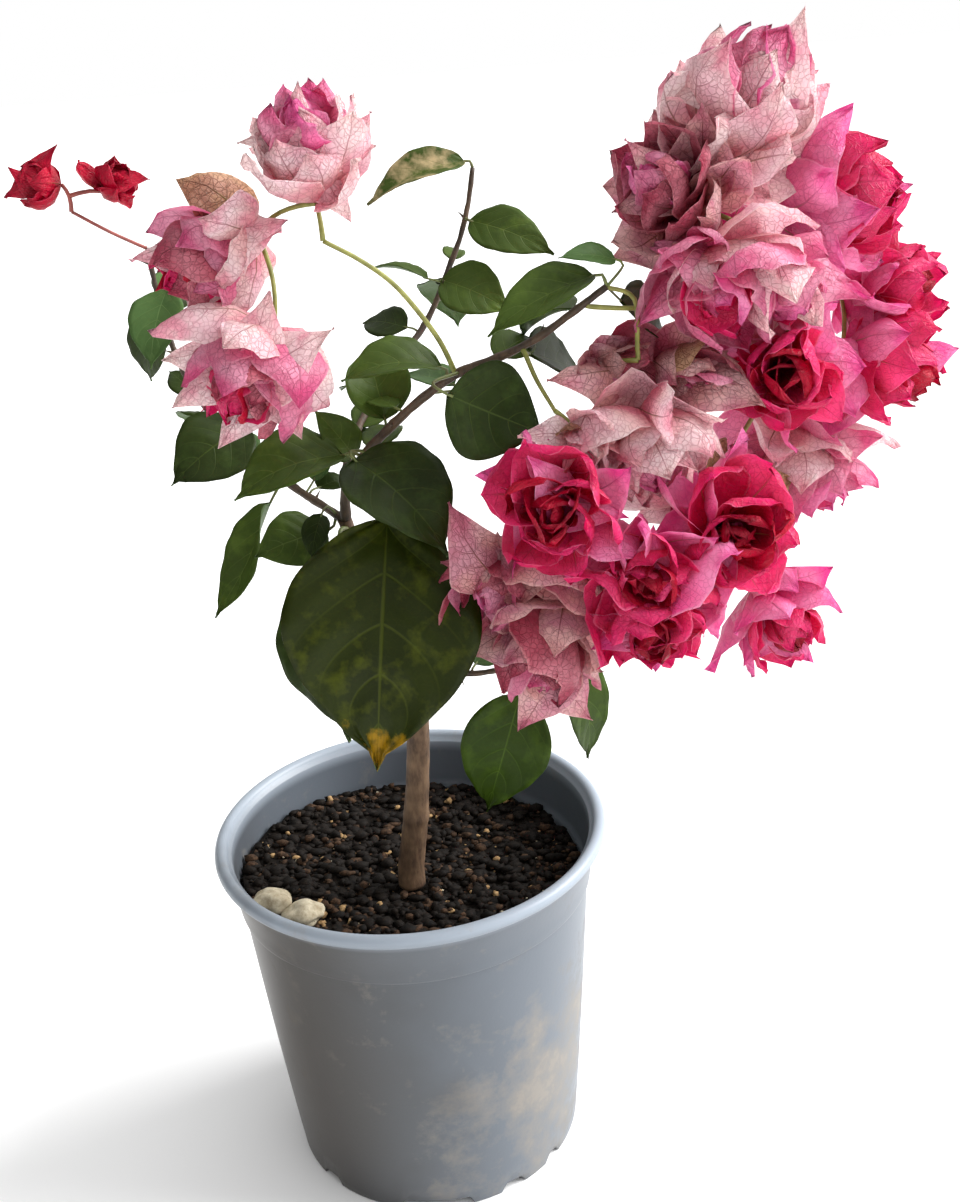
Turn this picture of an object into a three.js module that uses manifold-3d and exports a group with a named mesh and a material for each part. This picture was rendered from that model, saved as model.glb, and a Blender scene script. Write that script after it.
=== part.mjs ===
// A young bougainvillea in a round nursery pot. Millimetres, +Z up, +X to the right of the bush's
// front, +Y to its back. The origin is the centre of the pot's flat underside.
import * as THREE from 'three';
import { mergeVertices } from 'three/addons/utils/BufferGeometryUtils.js';
import Module from 'manifold-3d';

const wasm = await Module();
wasm.setup();

// Driving dimensions.
const GAP = 0.3;                  // air left between pieces that touch

const POT_HEIGHT = 158;
const RIM_RADIUS = 85;
const SHOULDER_RADIUS = 76;       // the plain wall where it meets the flared collar
const BASE_RADIUS = 65;
const COLLAR_HEIGHT = 27;         // from the shoulder line to the lip's top
const LIP_HEIGHT = 5;
const WALL = 2.2;
const FLOOR = 6;
const POT_SIDES = 40;
const FOOT_NOTCHES = [            // gaps in the foot: bearing in degrees, width, height
  { bearing: -92, width: 31, height: 5.5 },
  { bearing: -60, width: 9, height: 3 },
  { bearing: -38, width: 9, height: 4 },
  { bearing: -138, width: 9, height: 4 },
  { bearing: 30, width: 31, height: 5.5 },
  { bearing: 150, width: 31, height: 5.5 },
];
const NOTCH_DEPTH = 3.5;

const SOIL_LEVEL = 132;           // where the stem comes out of the soil
const SOIL_TILT = 0.045;          // the soil stands higher on the left
const SOIL_HEAP = 0.08;            // and is heaped up further out on that side
const SOIL_ROUGH = 1.6;

const FOOT = [-1, -12, SOIL_LEVEL];
const FORK = [10, -18, 248];      // where the low right bough leaves the leader
const CROWN_NODE = [-11, -22, 307];   // where the leader breaks into its boughs
const TRUNK_RADIUS = 4.9;
const FORK_RADIUS = 4.2;
const FLARE = 1.5;                // how much wider the stem stands at the soil
const FLARE_HEIGHT = 8;

const BARK = { color: 0x8a7464, roughness: 0.85 };
const YOUNG_BARK = { color: 0x7d5f4e, roughness: 0.75 };
const GREEN_STALK = { color: 0xa3a35a, roughness: 0.6 };
const RED_STALK = { color: 0x9c4d40, roughness: 0.6 };
const LEAF = { color: 0x3f6234, roughness: 0.45 };
const PALE_LEAF = { color: 0x76985a, roughness: 0.5 };
const PALE_BRACT = { color: 0xdc9da4, roughness: 0.7 };
const ROSE_BRACT = { color: 0xd0648c, roughness: 0.65 };
const CRIMSON_BRACT = { color: 0xb81f37, roughness: 0.6 };

// Limbs. Each is one tapering tube along a smooth line through its points.
const LIMBS = {
  leader: { finish: BARK, radii: [3.7, 2.7], line: [FORK, [1, -18, 275], [-8, -20, 295], CROWN_NODE] },
  right_bough: {
    finish: YOUNG_BARK,
    radii: [2.2, 1.3],
    line: [CROWN_NODE, [-7, -30, 325], [8, -42, 345], [36, -54, 368], [59, -60, 377], [88, -64, 396]],
  },
  back_bough: {
    finish: YOUNG_BARK,
    radii: [1.9, 1.1],
    line: [CROWN_NODE, [-8, 0, 327], [10, 35, 349], [26, 52, 365], [36, 62, 383], [44, 68, 400], [49, 72, 421]],
  },
  left_bough: {
    finish: YOUNG_BARK,
    radii: [2.0, 1.1],
    line: [CROWN_NODE, [-36, 8, 315], [-54, 25, 328], [-69, 32, 344], [-79, 39, 372], [-82, 42, 404]],
  },
  low_right_bough: {
    finish: YOUNG_BARK,
    radii: [1.5, 1.0],
    line: [FORK, [24, -22, 239], [41, -26, 240], [58, -30, 246], [80, -34, 254]],
  },
  left_flower_stalk: {
    finish: GREEN_STALK,
    radii: [1.0, 0.9],
    line: [[36, -54, 368], [31, -56, 381], [15, -58, 404], [-4, -58, 417]],
  },
  front_flower_stalk: {
    finish: GREEN_STALK,
    radii: [1.0, 0.8],
    line: [[59, -60, 377], [62, -66, 369], [68, -74, 358]],
  },
  right_flower_stalk: {
    finish: GREEN_STALK,
    radii: [1.0, 0.8],
    line: [[80, -63, 390], [90, -62, 388], [112, -58, 387]],
  },
  hanging_flower_stalk: {
    finish: GREEN_STALK,
    radii: [1.0, 0.8],
    line: [[88, -64, 396], [96, -62, 398], [97, -64, 388], [97, -68, 374], [97, -72, 360]],
  },
  far_left_flower_stalk: {
    finish: RED_STALK,
    radii: [0.9, 0.8],
    line: [[-82, 42, 404], [-95, 38, 412], [-107, 34, 421]],
  },
};
const LIMB_SIDES = 7;
const LIMB_STEP = 14;             // length of one straight stretch of a limb

// Flower heads: a crowded ball of bracts round each centre, with the bract tips that stand out furthest.
const HEADS = {
  right_top_head: {
    finish: PALE_BRACT,
    centre: [136, -40, 444],
    radii: [25, 18, 28],
    tips: [[158, -40, 477], [165, -32, 456], [162, -30, 444], [120, -45, 463], [110, -50, 450]],
  },
  right_upper_head: {
    finish: PALE_BRACT,
    centre: [112, -54, 424],
    radii: [20, 16, 22],
    tips: [[95, -58, 441], [91, -58, 418], [137, -50, 451]],
  },
  right_outer_head: {
    finish: ROSE_BRACT,
    centre: [170, -30, 411],
    radii: [25, 18, 23],
    tips: [[200, -25, 414], [188, -28, 425], [182, -30, 400], [177, -22, 435]],
  },
  right_inner_head: {
    finish: ROSE_BRACT,
    centre: [130, -66, 396],
    radii: [31, 17, 24],
    tips: [[97, -72, 383], [102, -78, 408], [123, -80, 377], [172, -60, 384]],
  },
  far_right_head: {
    finish: ROSE_BRACT,
    centre: [196, -12, 375],
    radii: [22, 15, 20],
    tips: [[219, -10, 370], [211, -8, 387], [190, -15, 398]],
  },
  right_middle_head: {
    finish: ROSE_BRACT,
    centre: [147, -60, 362],
    radii: [20, 15, 20],
    tips: [[130, -66, 353], [152, -66, 342]],
  },
  far_right_low_head: {
    finish: ROSE_BRACT,
    centre: [189, -28, 352],
    radii: [23, 16, 19],
    tips: [[220, -24, 354], [202, -28, 338]],
  },
  right_lower_head: {
    finish: ROSE_BRACT,
    centre: [164, -22, 318],
    radii: [27, 17, 24],
    tips: [[195, -15, 319], [188, -18, 301], [159, -25, 289], [146, -30, 296]],
  },
  front_upper_head: {
    finish: PALE_BRACT,
    centre: [93, -76, 345],
    radii: [26, 15, 19],
    tips: [[54, -84, 352], [113, -92, 338]],
  },
  front_left_head: {
    finish: ROSE_BRACT,
    centre: [67, -92, 328],
    radii: [22, 14, 20],
    tips: [[46, -98, 330], [56, -95, 350], [78, -104, 315]],
  },
  front_middle_head: {
    finish: ROSE_BRACT,
    centre: [97, -92, 296],
    radii: [21, 14, 25],
    tips: [[97, -88, 266], [75, -90, 276], [113, -92, 285]],
  },
  front_right_head: {
    finish: ROSE_BRACT,
    centre: [125, -84, 314],
    radii: [21, 15, 26],
    tips: [[143, -85, 310], [139, -82, 330]],
  },
  front_low_head: {
    finish: PALE_BRACT,
    centre: [58, -72, 284],
    radii: [23, 15, 31],
    tips: [[30, -78, 336], [25, -78, 308], [49, -72, 238], [75, -70, 239]],
  },
  low_right_head: {
    finish: ROSE_BRACT,
    centre: [147, -56, 269],
    radii: [19, 14, 20],
    tips: [[166, -55, 272], [159, -55, 248], [134, -60, 250]],
  },
  pale_right_head: {
    finish: PALE_BRACT,
    centre: [104, -60, 367],
    radii: [26, 10, 8],
    tips: [[65, -76, 368], [145, -74, 350]],
  },
  left_top_head: {
    finish: PALE_BRACT,
    centre: [-5, -56, 444],
    radii: [19, 14, 21],
    tips: [[-6, -58, 467], [8, -54, 461], [16, -52, 444], [5, -56, 422], [-28, -58, 449]],
  },
  left_outer_head: {
    finish: ROSE_BRACT,
    centre: [-42, -44, 414],
    radii: [22, 15, 17],
    tips: [[-71, -42, 412], [-54, -44, 393], [-54, -42, 427], [-15, -48, 422]],
  },
  left_low_head: {
    finish: PALE_BRACT,
    centre: [-31, -62, 379],
    radii: [24, 15, 24],
    tips: [[-62, -60, 381], [-61, -62, 366], [-46, -62, 351], [-18, -68, 353], [-2, -66, 389]],
  },
  far_left_head: {
    finish: CRIMSON_BRACT,
    centre: [-115, 30, 430],
    radii: [11, 8, 9],
    tips: [[-130, 30, 428], [-127, 30, 439], [-106, 30, 446]],
  },
  far_left_small_head: {
    finish: CRIMSON_BRACT,
    centre: [-92, 34, 432],
    radii: [10, 8, 8],
    tips: [[-75, 34, 430], [-85, 32, 424]],
  },
  back_upper_head: {
    finish: ROSE_BRACT,
    centre: [142, -2, 404],
    radii: [27, 16, 23],
    tips: [[118, 16, 412], [160, 18, 418], [146, 20, 384]],
  },
  back_lower_head: {
    finish: ROSE_BRACT,
    centre: [122, -40, 306],
    radii: [24, 15, 20],
    tips: [[104, -24, 318], [136, -24, 292]],
  },
};
const HEAD_UNEVEN = 0.13;
const TIP_SPREAD = 34;            // degrees round a standing bract tip that it draws out

// Foliage: each leaf or pair of leaves is a thin bowed blade from its stalk to its tip.
const LEAVES = {
  front_leaf: { base: [7, -50, 316], tip: [-4, -84, 233], width: 74, facing: [0.1, -1, 0.3], bow: 6 },
  front_back_leaf: { base: [-13, -38, 300], tip: [-17, -60, 231], width: 50, facing: [-0.5, -1, 0.2], bow: 5 },
  centre_leaf: { base: [-3, -46, 338], tip: [29, -72, 309], width: 40, facing: [0.2, -0.8, 0.7], bow: 5 },
  mid_right_leaf: { base: [53, -64, 368], tip: [42, -76, 337], width: 36, facing: [-0.1, -1, 0.3], bow: 4 },
  drooping_leaf: { base: [-42, 5, 307], tip: [-68, -15, 268], width: 22, facing: [-0.8, -0.5, 0.6], bow: -5 },
  left_mid_leaf: { base: [-7, -40, 338], tip: [-46, -56, 331], width: 28, facing: [0, -0.45, 1], bow: 5 },
  left_back_leaf: { base: [-50, 22, 334], tip: [-80, 4, 318], width: 34, facing: [-0.2, -0.9, 0.5], bow: 4 },
  left_low_leaf: { base: [-19, -20, 302], tip: [-45, -34, 299], width: 24, facing: [0, -0.8, 0.6], bow: 4 },
  upper_left_leaf: { base: [31, -51, 370], tip: [-3, -60, 371], width: 22, facing: [0, -0.35, 1], bow: 5 },
  folded_leaf: { base: [9, -36, 349], tip: [4, -22, 372], width: 24, facing: [0.2, -1, 0.1], bow: 3 },
  upper_centre_leaf: { base: [84, -64, 400], tip: [47, -74, 386], width: 19, facing: [0, -0.6, 1], bow: 3 },
  back_mid_leaf: { base: [33, 58, 379], tip: [60, 46, 367], width: 25, facing: [0, -0.8, 0.6], bow: 3 },
  back_top_leaf: { base: [46, 66, 401], tip: [79, 50, 388], width: 23, facing: [0.1, -0.8, 0.7], bow: 3 },
  top_left_leaf: { base: [46, 71, 424], tip: [5, 60, 412], width: 18, facing: [0, -0.7, 1], bow: 5 },
  low_right_leaf: { base: [51, -32, 232], tip: [34, -30, 178], width: 37, facing: [-0.1, -1, 0.1], bow: 4 },
  far_low_leaf: { base: [73, -12, 240], tip: [80, -2, 182], width: 24, facing: [0.7, -0.9, 0.1], bow: 5 },
  far_left_leaf: { base: [-76, 38, 388], tip: [-84, 20, 361], width: 24, facing: [-0.3, -1, 0.3], bow: 3 },
  far_left_back_leaf: { base: [-84, 44, 378], tip: [-92, 50, 348], width: 20, facing: [-0.5, -1, 0.2], bow: 3 },
  rear_low_leaf: { base: [0, -8, 288], tip: [14, 30, 256], width: 38, facing: [0.2, 1, 0.6], bow: 5 },
  rear_mid_leaf: { base: [-14, 4, 324], tip: [-34, 44, 308], width: 36, facing: [-0.3, 0.6, 1], bow: 5 },
  rear_high_leaf: { base: [34, 66, 378], tip: [38, 96, 352], width: 30, facing: [0.1, 1, 0.7], bow: 4 },
  rear_left_leaf: { base: [-62, 34, 336], tip: [-74, 70, 318], width: 32, facing: [-0.3, 1, 1], bow: 4 },
};
const LEAF_THICKNESS = 2.4;
const LEAF_SIDES = 6;
const LEAF_STEPS = 8;

// Pale stones that lie on the soil inside the left of the rim.
const STONES = {
  stone_left: { at: [-59, -32], radii: [8, 7, 6] },
  stone_right: { at: [-46, -38], radii: [9, 7, 6] },
};

const vec = (point) => new THREE.Vector3(...point);

// A closed geometry as a solid that can be joined and cut.
function solidFrom(geometry) {
  const bare = geometry.clone();
  bare.deleteAttribute('normal');
  bare.deleteAttribute('uv');
  const merged = mergeVertices(bare, 1e-4);
  return new wasm.Manifold(new wasm.Mesh({
    numProp: 3,
    vertProperties: new Float32Array(merged.attributes.position.array),
    triVerts: new Uint32Array(merged.index.array),
  }));
}

function geometryFrom(solid) {
  const mesh = solid.getMesh();
  const geometry = new THREE.BufferGeometry();
  geometry.setAttribute('position', new THREE.BufferAttribute(mesh.vertProperties, 3));
  geometry.setIndex(new THREE.BufferAttribute(mesh.triVerts, 1));
  geometry.computeVertexNormals();
  return geometry;
}

function boxesMeet(a, b) {
  const boxA = a.boundingBox();
  const boxB = b.boundingBox();
  return [0, 1, 2].every((i) => boxA.min[i] <= boxB.max[i] && boxB.min[i] <= boxA.max[i]);
}

// The largest body left when each cutter is taken from a solid.
function cutBy(solid, cutters) {
  const nearby = cutters.filter((cutter) => boxesMeet(solid, cutter));
  if (nearby.length === 0) return solid;
  const rest = nearby.reduce((body, cutter) => body.subtract(cutter), solid);
  const bodies = rest.decompose();
  return bodies.reduce((best, body) => (body.volume() > best.volume() ? body : best));
}

// A smooth wobble between -1 and 1 that differs from seed to seed.
function wobble(direction, seed) {
  const { x, y, z } = direction;
  const first = Math.sin(3.1 * x + 1.7 * seed) * Math.cos(2.7 * y - 0.9 * seed);
  const second = Math.sin(4.3 * z + 2.3 * seed + 1.9 * x);
  return 0.6 * first + 0.4 * second;
}

function moveVertices(geometry, move) {
  const position = geometry.attributes.position;
  const point = new THREE.Vector3();
  for (let i = 0; i < position.count; i += 1) {
    point.fromBufferAttribute(position, i);
    move(point);
    position.setXYZ(i, point.x, point.y, point.z);
  }
  return geometry;
}

// Pot: a turned shell with a solid floor, a shoulder line, a flared collar and a rolled lip.
function potSolid() {
  const shoulder = POT_HEIGHT - COLLAR_HEIGHT;
  const collarRadius = SHOULDER_RADIUS + 2;
  const lipBase = POT_HEIGHT - LIP_HEIGHT;
  const profile = [
    [0, 0],
    [BASE_RADIUS - 1, 0],
    [BASE_RADIUS, 1.5],
    [SHOULDER_RADIUS, shoulder],
    [collarRadius, shoulder + 1.5],
    [RIM_RADIUS - 3, lipBase - 1],
    [RIM_RADIUS, lipBase + 0.5],
    [RIM_RADIUS, POT_HEIGHT - 1.5],
    [RIM_RADIUS - 1.5, POT_HEIGHT],
    [RIM_RADIUS - 3.5, POT_HEIGHT],
    [RIM_RADIUS - 5, POT_HEIGHT - 2],
    [collarRadius - WALL, shoulder + 1],
    [SHOULDER_RADIUS - WALL, shoulder - 1],
    [BASE_RADIUS - WALL, FLOOR + 0.5],
    [BASE_RADIUS - WALL - 1, FLOOR],
    [0, FLOOR],
  ];
  const points = profile.map(([radius, height]) => new THREE.Vector2(radius, height));
  const turned = new THREE.LatheGeometry(points, POT_SIDES);
  turned.rotateX(Math.PI / 2);
  const notches = FOOT_NOTCHES.map(({ bearing, width, height }) => {
    const box = new THREE.BoxGeometry(2 * NOTCH_DEPTH, width, 2 * height);
    box.translate(BASE_RADIUS, 0, 0);
    box.rotateZ(THREE.MathUtils.degToRad(bearing));
    return solidFrom(box);
  });
  return cutBy(solidFrom(turned), notches);
}

function soilTop(x, y) {
  const fromStem = Math.hypot(x - FOOT[0], y - FOOT[1]);
  const away = THREE.MathUtils.smoothstep(fromStem, 12, 30);
  const lumps = Math.sin(x / 7 + 1) * Math.cos(y / 9) + 0.6 * Math.sin((x + y) / 5);
  const heap = SOIL_HEAP * Math.max(0, -x - 12);
  return SOIL_LEVEL + away * (SOIL_ROUGH * lumps - SOIL_TILT * (x - FOOT[0]) + heap);
}

// Soil: a plug that fills the pot, flat round the stem and lumpy elsewhere.
function soilSolid(lift) {
  const shoulder = POT_HEIGHT - COLLAR_HEIGHT;
  const bottom = FLOOR + GAP;
  const bottomRadius = BASE_RADIUS - WALL - 1 - GAP;
  const topRadius = SHOULDER_RADIUS - WALL - 2 * GAP;
  const rings = [1, 0.75, 0.5, 0.25, 0];
  const profile = [
    [0, bottom],
    [bottomRadius, bottom],
    [topRadius - 0.4, shoulder - 8],
    ...rings.map((share) => [share * topRadius, SOIL_LEVEL]),
  ];
  const points = profile.map(([radius, height]) => new THREE.Vector2(radius, height));
  const plug = new THREE.LatheGeometry(points, POT_SIDES);
  plug.rotateX(Math.PI / 2);
  moveVertices(plug, (point) => {
    if (point.z > shoulder - 1) point.z = soilTop(point.x, point.y) + lift;
  });
  return solidFrom(plug);
}

// An uneven rounded body, drawn out to each of its tips.
function lumpSolid({ centre, radii, tips = [] }, seed, grow, detail = 2) {
  const middle = vec(centre);
  const lump = mergeVertices(bareSphere(detail), 1e-4);
  const position = lump.attributes.position;
  const stretch = new THREE.Vector3(...radii.map((radius) => radius + grow));
  const directions = [];
  for (let i = 0; i < position.count; i += 1) {
    directions.push(new THREE.Vector3().fromBufferAttribute(position, i).normalize());
  }
  const places = directions.map((direction) => {
    const swell = 1 + HEAD_UNEVEN * wobble(direction, seed);
    return direction.clone().multiply(stretch).multiplyScalar(swell).add(middle);
  });
  tips.forEach((tip) => {
    const reach = vec(tip).sub(middle);
    const aim = reach.clone().divide(stretch).normalize();
    const angles = directions.map((direction) => THREE.MathUtils.radToDeg(direction.angleTo(aim)));
    const nearest = angles.indexOf(Math.min(...angles));
    const end = reach.multiplyScalar(1 + grow / reach.length()).add(middle);
    places.forEach((place, i) => {
      const pull = i === nearest ? 1 : 0.45 * Math.max(0, 1 - angles[i] / TIP_SPREAD);
      place.lerp(end, pull);
    });
  });
  places.forEach((place, i) => position.setXYZ(i, place.x, place.y, place.z));
  return solidFrom(lump);
}

function bareSphere(detail) {
  const sphere = new THREE.IcosahedronGeometry(1, detail);
  sphere.deleteAttribute('normal');
  sphere.deleteAttribute('uv');
  return sphere;
}

// A tapering tube along a smooth line.
function limbSolid({ line, radii }, grow) {
  const curve = new THREE.CatmullRomCurve3(line.map(vec));
  const steps = Math.max(2, Math.round(curve.getLength() / LIMB_STEP));
  const frames = curve.computeFrenetFrames(steps, false);
  const tube = new THREE.CylinderGeometry(1, 1, 1, LIMB_SIDES, steps);
  moveVertices(tube, (point) => {
    const step = Math.round((point.y + 0.5) * steps);
    const radius = THREE.MathUtils.lerp(radii[0], radii[1], step / steps) + grow;
    const along = curve.getPointAt(step / steps);
    const across = frames.normals[step].clone().multiplyScalar(radius * point.z);
    const over = frames.binormals[step].clone().multiplyScalar(radius * point.x);
    point.copy(along).add(across).add(over);
  });
  return solidFrom(tube);
}

// Trunk: leans from its flared foot, cut flat at the soil, up to the fork.
function trunkSolid(grow) {
  const foot = [FOOT[0], FOOT[1], FOOT[2] + GAP];
  const line = [foot, [-1, -12, 140], [4, -12, 170], [8, -13, 205], [10, -16, 235], FORK];
  const curve = new THREE.CatmullRomCurve3(line.map(vec));
  const steps = 11;
  const stem = new THREE.CylinderGeometry(1, 1, 1, 9, steps);
  moveVertices(stem, (point) => {
    const share = THREE.MathUtils.clamp(point.y + 0.5, 0, 1);
    const along = curve.getPointAt(share ** 1.5);
    const rise = along.z - foot[2];
    const flare = FLARE * Math.exp(-rise / FLARE_HEIGHT);
    const ridges = 1 + 0.12 * (flare / FLARE) * Math.sin(4 * Math.atan2(point.z, point.x));
    const plain = THREE.MathUtils.lerp(TRUNK_RADIUS, FORK_RADIUS, rise / (FORK[2] - foot[2]));
    const radius = (plain + flare) * ridges + grow;
    point.set(along.x + radius * point.x, along.y - radius * point.z, along.z);
  });
  return solidFrom(stem);
}

// A leaf's half width at a share of its length: broad near the stalk, drawn out to a point.
function leafOutline(share) {
  return Math.sin(Math.PI * share ** 0.78) ** 0.85 * (1.06 - 0.16 * share);
}

// A thin blade with a leaf's outline, bowed along its length and folded a little at its midrib.
function leafSolid({ base, tip, width, facing, bow }, grow) {
  const start = vec(base);
  const along = vec(tip).sub(start);
  const side = along.clone().cross(vec(facing)).normalize();
  const normal = side.clone().cross(along).normalize();
  const blade = new THREE.SphereGeometry(1, LEAF_SIDES, LEAF_STEPS);
  moveVertices(blade, (point) => {
    const share = (1 - point.y) / 2;
    const girth = Math.max(Math.hypot(point.x, point.z), 1e-9);
    const across = point.x / girth;
    const through = point.z / girth;
    const ends = girth < 1e-6 ? 0 : 1;
    const outline = ends * leafOutline(share);
    const halfWidth = outline * (width / 2 + grow);
    const halfThick = ends * Math.min(1, 2 * outline) * (LEAF_THICKNESS / 2 + grow);
    const lift = bow * Math.sin(Math.PI * share) + 0.1 * width * across * across * outline;
    point.copy(start).addScaledVector(along, share);
    point.addScaledVector(side, across * halfWidth);
    point.addScaledVector(normal, through * halfThick + lift);
  });
  const solid = solidFrom(blade);
  return solid.volume() < 0 ? solidFrom(flipped(blade)) : solid;
}

function flipped(geometry) {
  const turned = geometry.clone();
  const index = turned.index.array;
  for (let i = 0; i < index.length; i += 3) {
    [index[i], index[i + 1]] = [index[i + 1], index[i]];
  }
  return turned;
}

const bush = new THREE.Group();

function addNode(name, solid, { color, roughness }) {
  const material = new THREE.MeshStandardMaterial({ color, roughness, metalness: 0 });
  const mesh = new THREE.Mesh(geometryFrom(solid), material);
  mesh.name = name;
  bush.add(mesh);
}

addNode('pot', potSolid(), { color: 0x9aa6b4, roughness: 0.5 });
addNode('soil', soilSolid(0), { color: 0x2e2420, roughness: 0.95 });

const soilCutter = soilSolid(GAP);
const placedStones = [];
Object.entries(STONES).forEach(([name, { at, radii }], i) => {
  const centre = [...at, soilTop(...at) + 0.45 * radii[2]];
  const stone = lumpSolid({ centre, radii }, i + 40, 0, 1);
  addNode(name, cutBy(stone, [soilCutter, ...placedStones]), { color: 0xd8d2bd, roughness: 0.8 });
  placedStones.push(lumpSolid({ centre, radii }, i + 40, GAP, 1));
});

addNode('trunk', trunkSolid(0), BARK);
const trunkCutter = trunkSolid(GAP);

const placedHeads = [];
Object.entries(HEADS).forEach(([name, head], i) => {
  addNode(name, cutBy(lumpSolid(head, i, 0), placedHeads), head.finish);
  placedHeads.push(lumpSolid(head, i, GAP));
});

const placedLimbs = [trunkCutter];
Object.entries(LIMBS).forEach(([name, limb]) => {
  addNode(name, cutBy(limbSolid(limb, 0), [...placedHeads, ...placedLimbs]), limb.finish);
  placedLimbs.push(limbSolid(limb, GAP));
});

const placedLeaves = [];
Object.entries(LEAVES).forEach(([name, leaf]) => {
  const finish = name.startsWith('far_left') ? PALE_LEAF : LEAF;
  addNode(name, cutBy(leafSolid(leaf, 0), [...placedHeads, ...placedLimbs, ...placedLeaves]), finish);
  placedLeaves.push(leafSolid(leaf, GAP));
});

export default bush;
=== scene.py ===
"""A young bougainvillea in a nursery pot: barked stem, boughs, veined leaves and crowded papery bracts."""
import math
from random import Random

import bmesh
import bpy
from mathutils import Matrix, Vector, noise
from mathutils.bvhtree import BVHTree


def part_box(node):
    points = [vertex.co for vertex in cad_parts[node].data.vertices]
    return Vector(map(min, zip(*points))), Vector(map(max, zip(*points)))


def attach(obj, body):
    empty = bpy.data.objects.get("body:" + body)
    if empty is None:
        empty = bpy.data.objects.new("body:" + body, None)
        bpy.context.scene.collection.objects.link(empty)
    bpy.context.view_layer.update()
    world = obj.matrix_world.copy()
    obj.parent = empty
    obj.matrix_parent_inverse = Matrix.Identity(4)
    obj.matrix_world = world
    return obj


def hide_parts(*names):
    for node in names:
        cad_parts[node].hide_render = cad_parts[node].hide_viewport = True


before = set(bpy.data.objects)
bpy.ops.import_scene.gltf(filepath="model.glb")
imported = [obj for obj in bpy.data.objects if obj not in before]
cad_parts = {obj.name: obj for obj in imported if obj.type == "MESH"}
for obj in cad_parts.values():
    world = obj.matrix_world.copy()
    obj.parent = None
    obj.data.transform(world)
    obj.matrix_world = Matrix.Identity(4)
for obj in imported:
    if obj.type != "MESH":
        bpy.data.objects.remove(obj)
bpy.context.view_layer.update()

MM = 0.001
UP = Vector((0, 0, 1))
CROWN = Vector((0, 0.02, 0.3))
LONGEST_BRACT = 48 * MM
BRACT_COLUMNS = 6
BRACT_ROWS = 10
SMALL_LEAF_GRID = (8, 14)       # columns and rows
LEAF_GRID = (12, 24)
LARGE_LEAF_GRID = (20, 40)
LARGE_LEAF = 60 * MM
GOLDEN_ANGLE = 2.4
SOIL_LEVEL = 132 * MM
CAMERA_PLACE = (0.038, -0.544, 0.494)
LOOKING_DOWN = 23.34            # degrees
LEANING = -4.54                 # degrees
WINDOW_WAY = (0.82, 0.1, 0.56)
BODY = "root"

# Boughs in the order in which they grow, each from the limb named after it.
BARKED = {"trunk": None, "leader": "trunk"}
BOUGHS = {
    "right_bough": "leader",
    "back_bough": "leader",
    "left_bough": "leader",
    "low_right_bough": "trunk",
}
STALKS = {
    "left_flower_stalk": "right_bough",
    "front_flower_stalk": "right_bough",
    "right_flower_stalk": "right_bough",
    "hanging_flower_stalk": "right_bough",
}
RED_STALKS = {"far_left_flower_stalk": "left_bough"}

# Leaves by the green of their spray.
LEAF_SPRAYS = {
    "mottled": ["front_leaf"],
    "dark": ["front_back_leaf", "centre_leaf", "mid_right_leaf", "left_back_leaf", "far_left_back_leaf",
             "rear_low_leaf", "rear_high_leaf"],
    "mid": ["left_mid_leaf", "drooping_leaf", "upper_left_leaf", "folded_leaf", "upper_centre_leaf",
            "back_mid_leaf", "back_top_leaf", "left_low_leaf", "rear_mid_leaf", "rear_left_leaf"],
    "fresh": ["low_right_leaf", "far_low_leaf"],
    "light": ["far_left_leaf"],
    "scorched": ["top_left_leaf"],
}

# Leaves that are turned, folded or twisted in their own way: roll in degrees, fold, belly, twist.
LEAF_SHAPES = {
    "front_leaf": (0, 0.08, 0.87, 0),
    "front_back_leaf": (0, 0.1, 0.9, 0),
    "centre_leaf": (-12, 0.36, 0.8, 0.2),
    "mid_right_leaf": (0, 0.12, 0.78, 0),
    "left_mid_leaf": (0, 0.45, 0.75, 0.5),
    "drooping_leaf": (0, 0.5, 0.62, 1.4),
    "upper_left_leaf": (0, 0.4, 0.8, 0.3),
    "upper_centre_leaf": (0, 0.45, 0.75, 0.4),
    "top_left_leaf": (0, 0.5, 0.8, -0.5),
    "folded_leaf": (0, 0.6, 0.85, 0),
}

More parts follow.
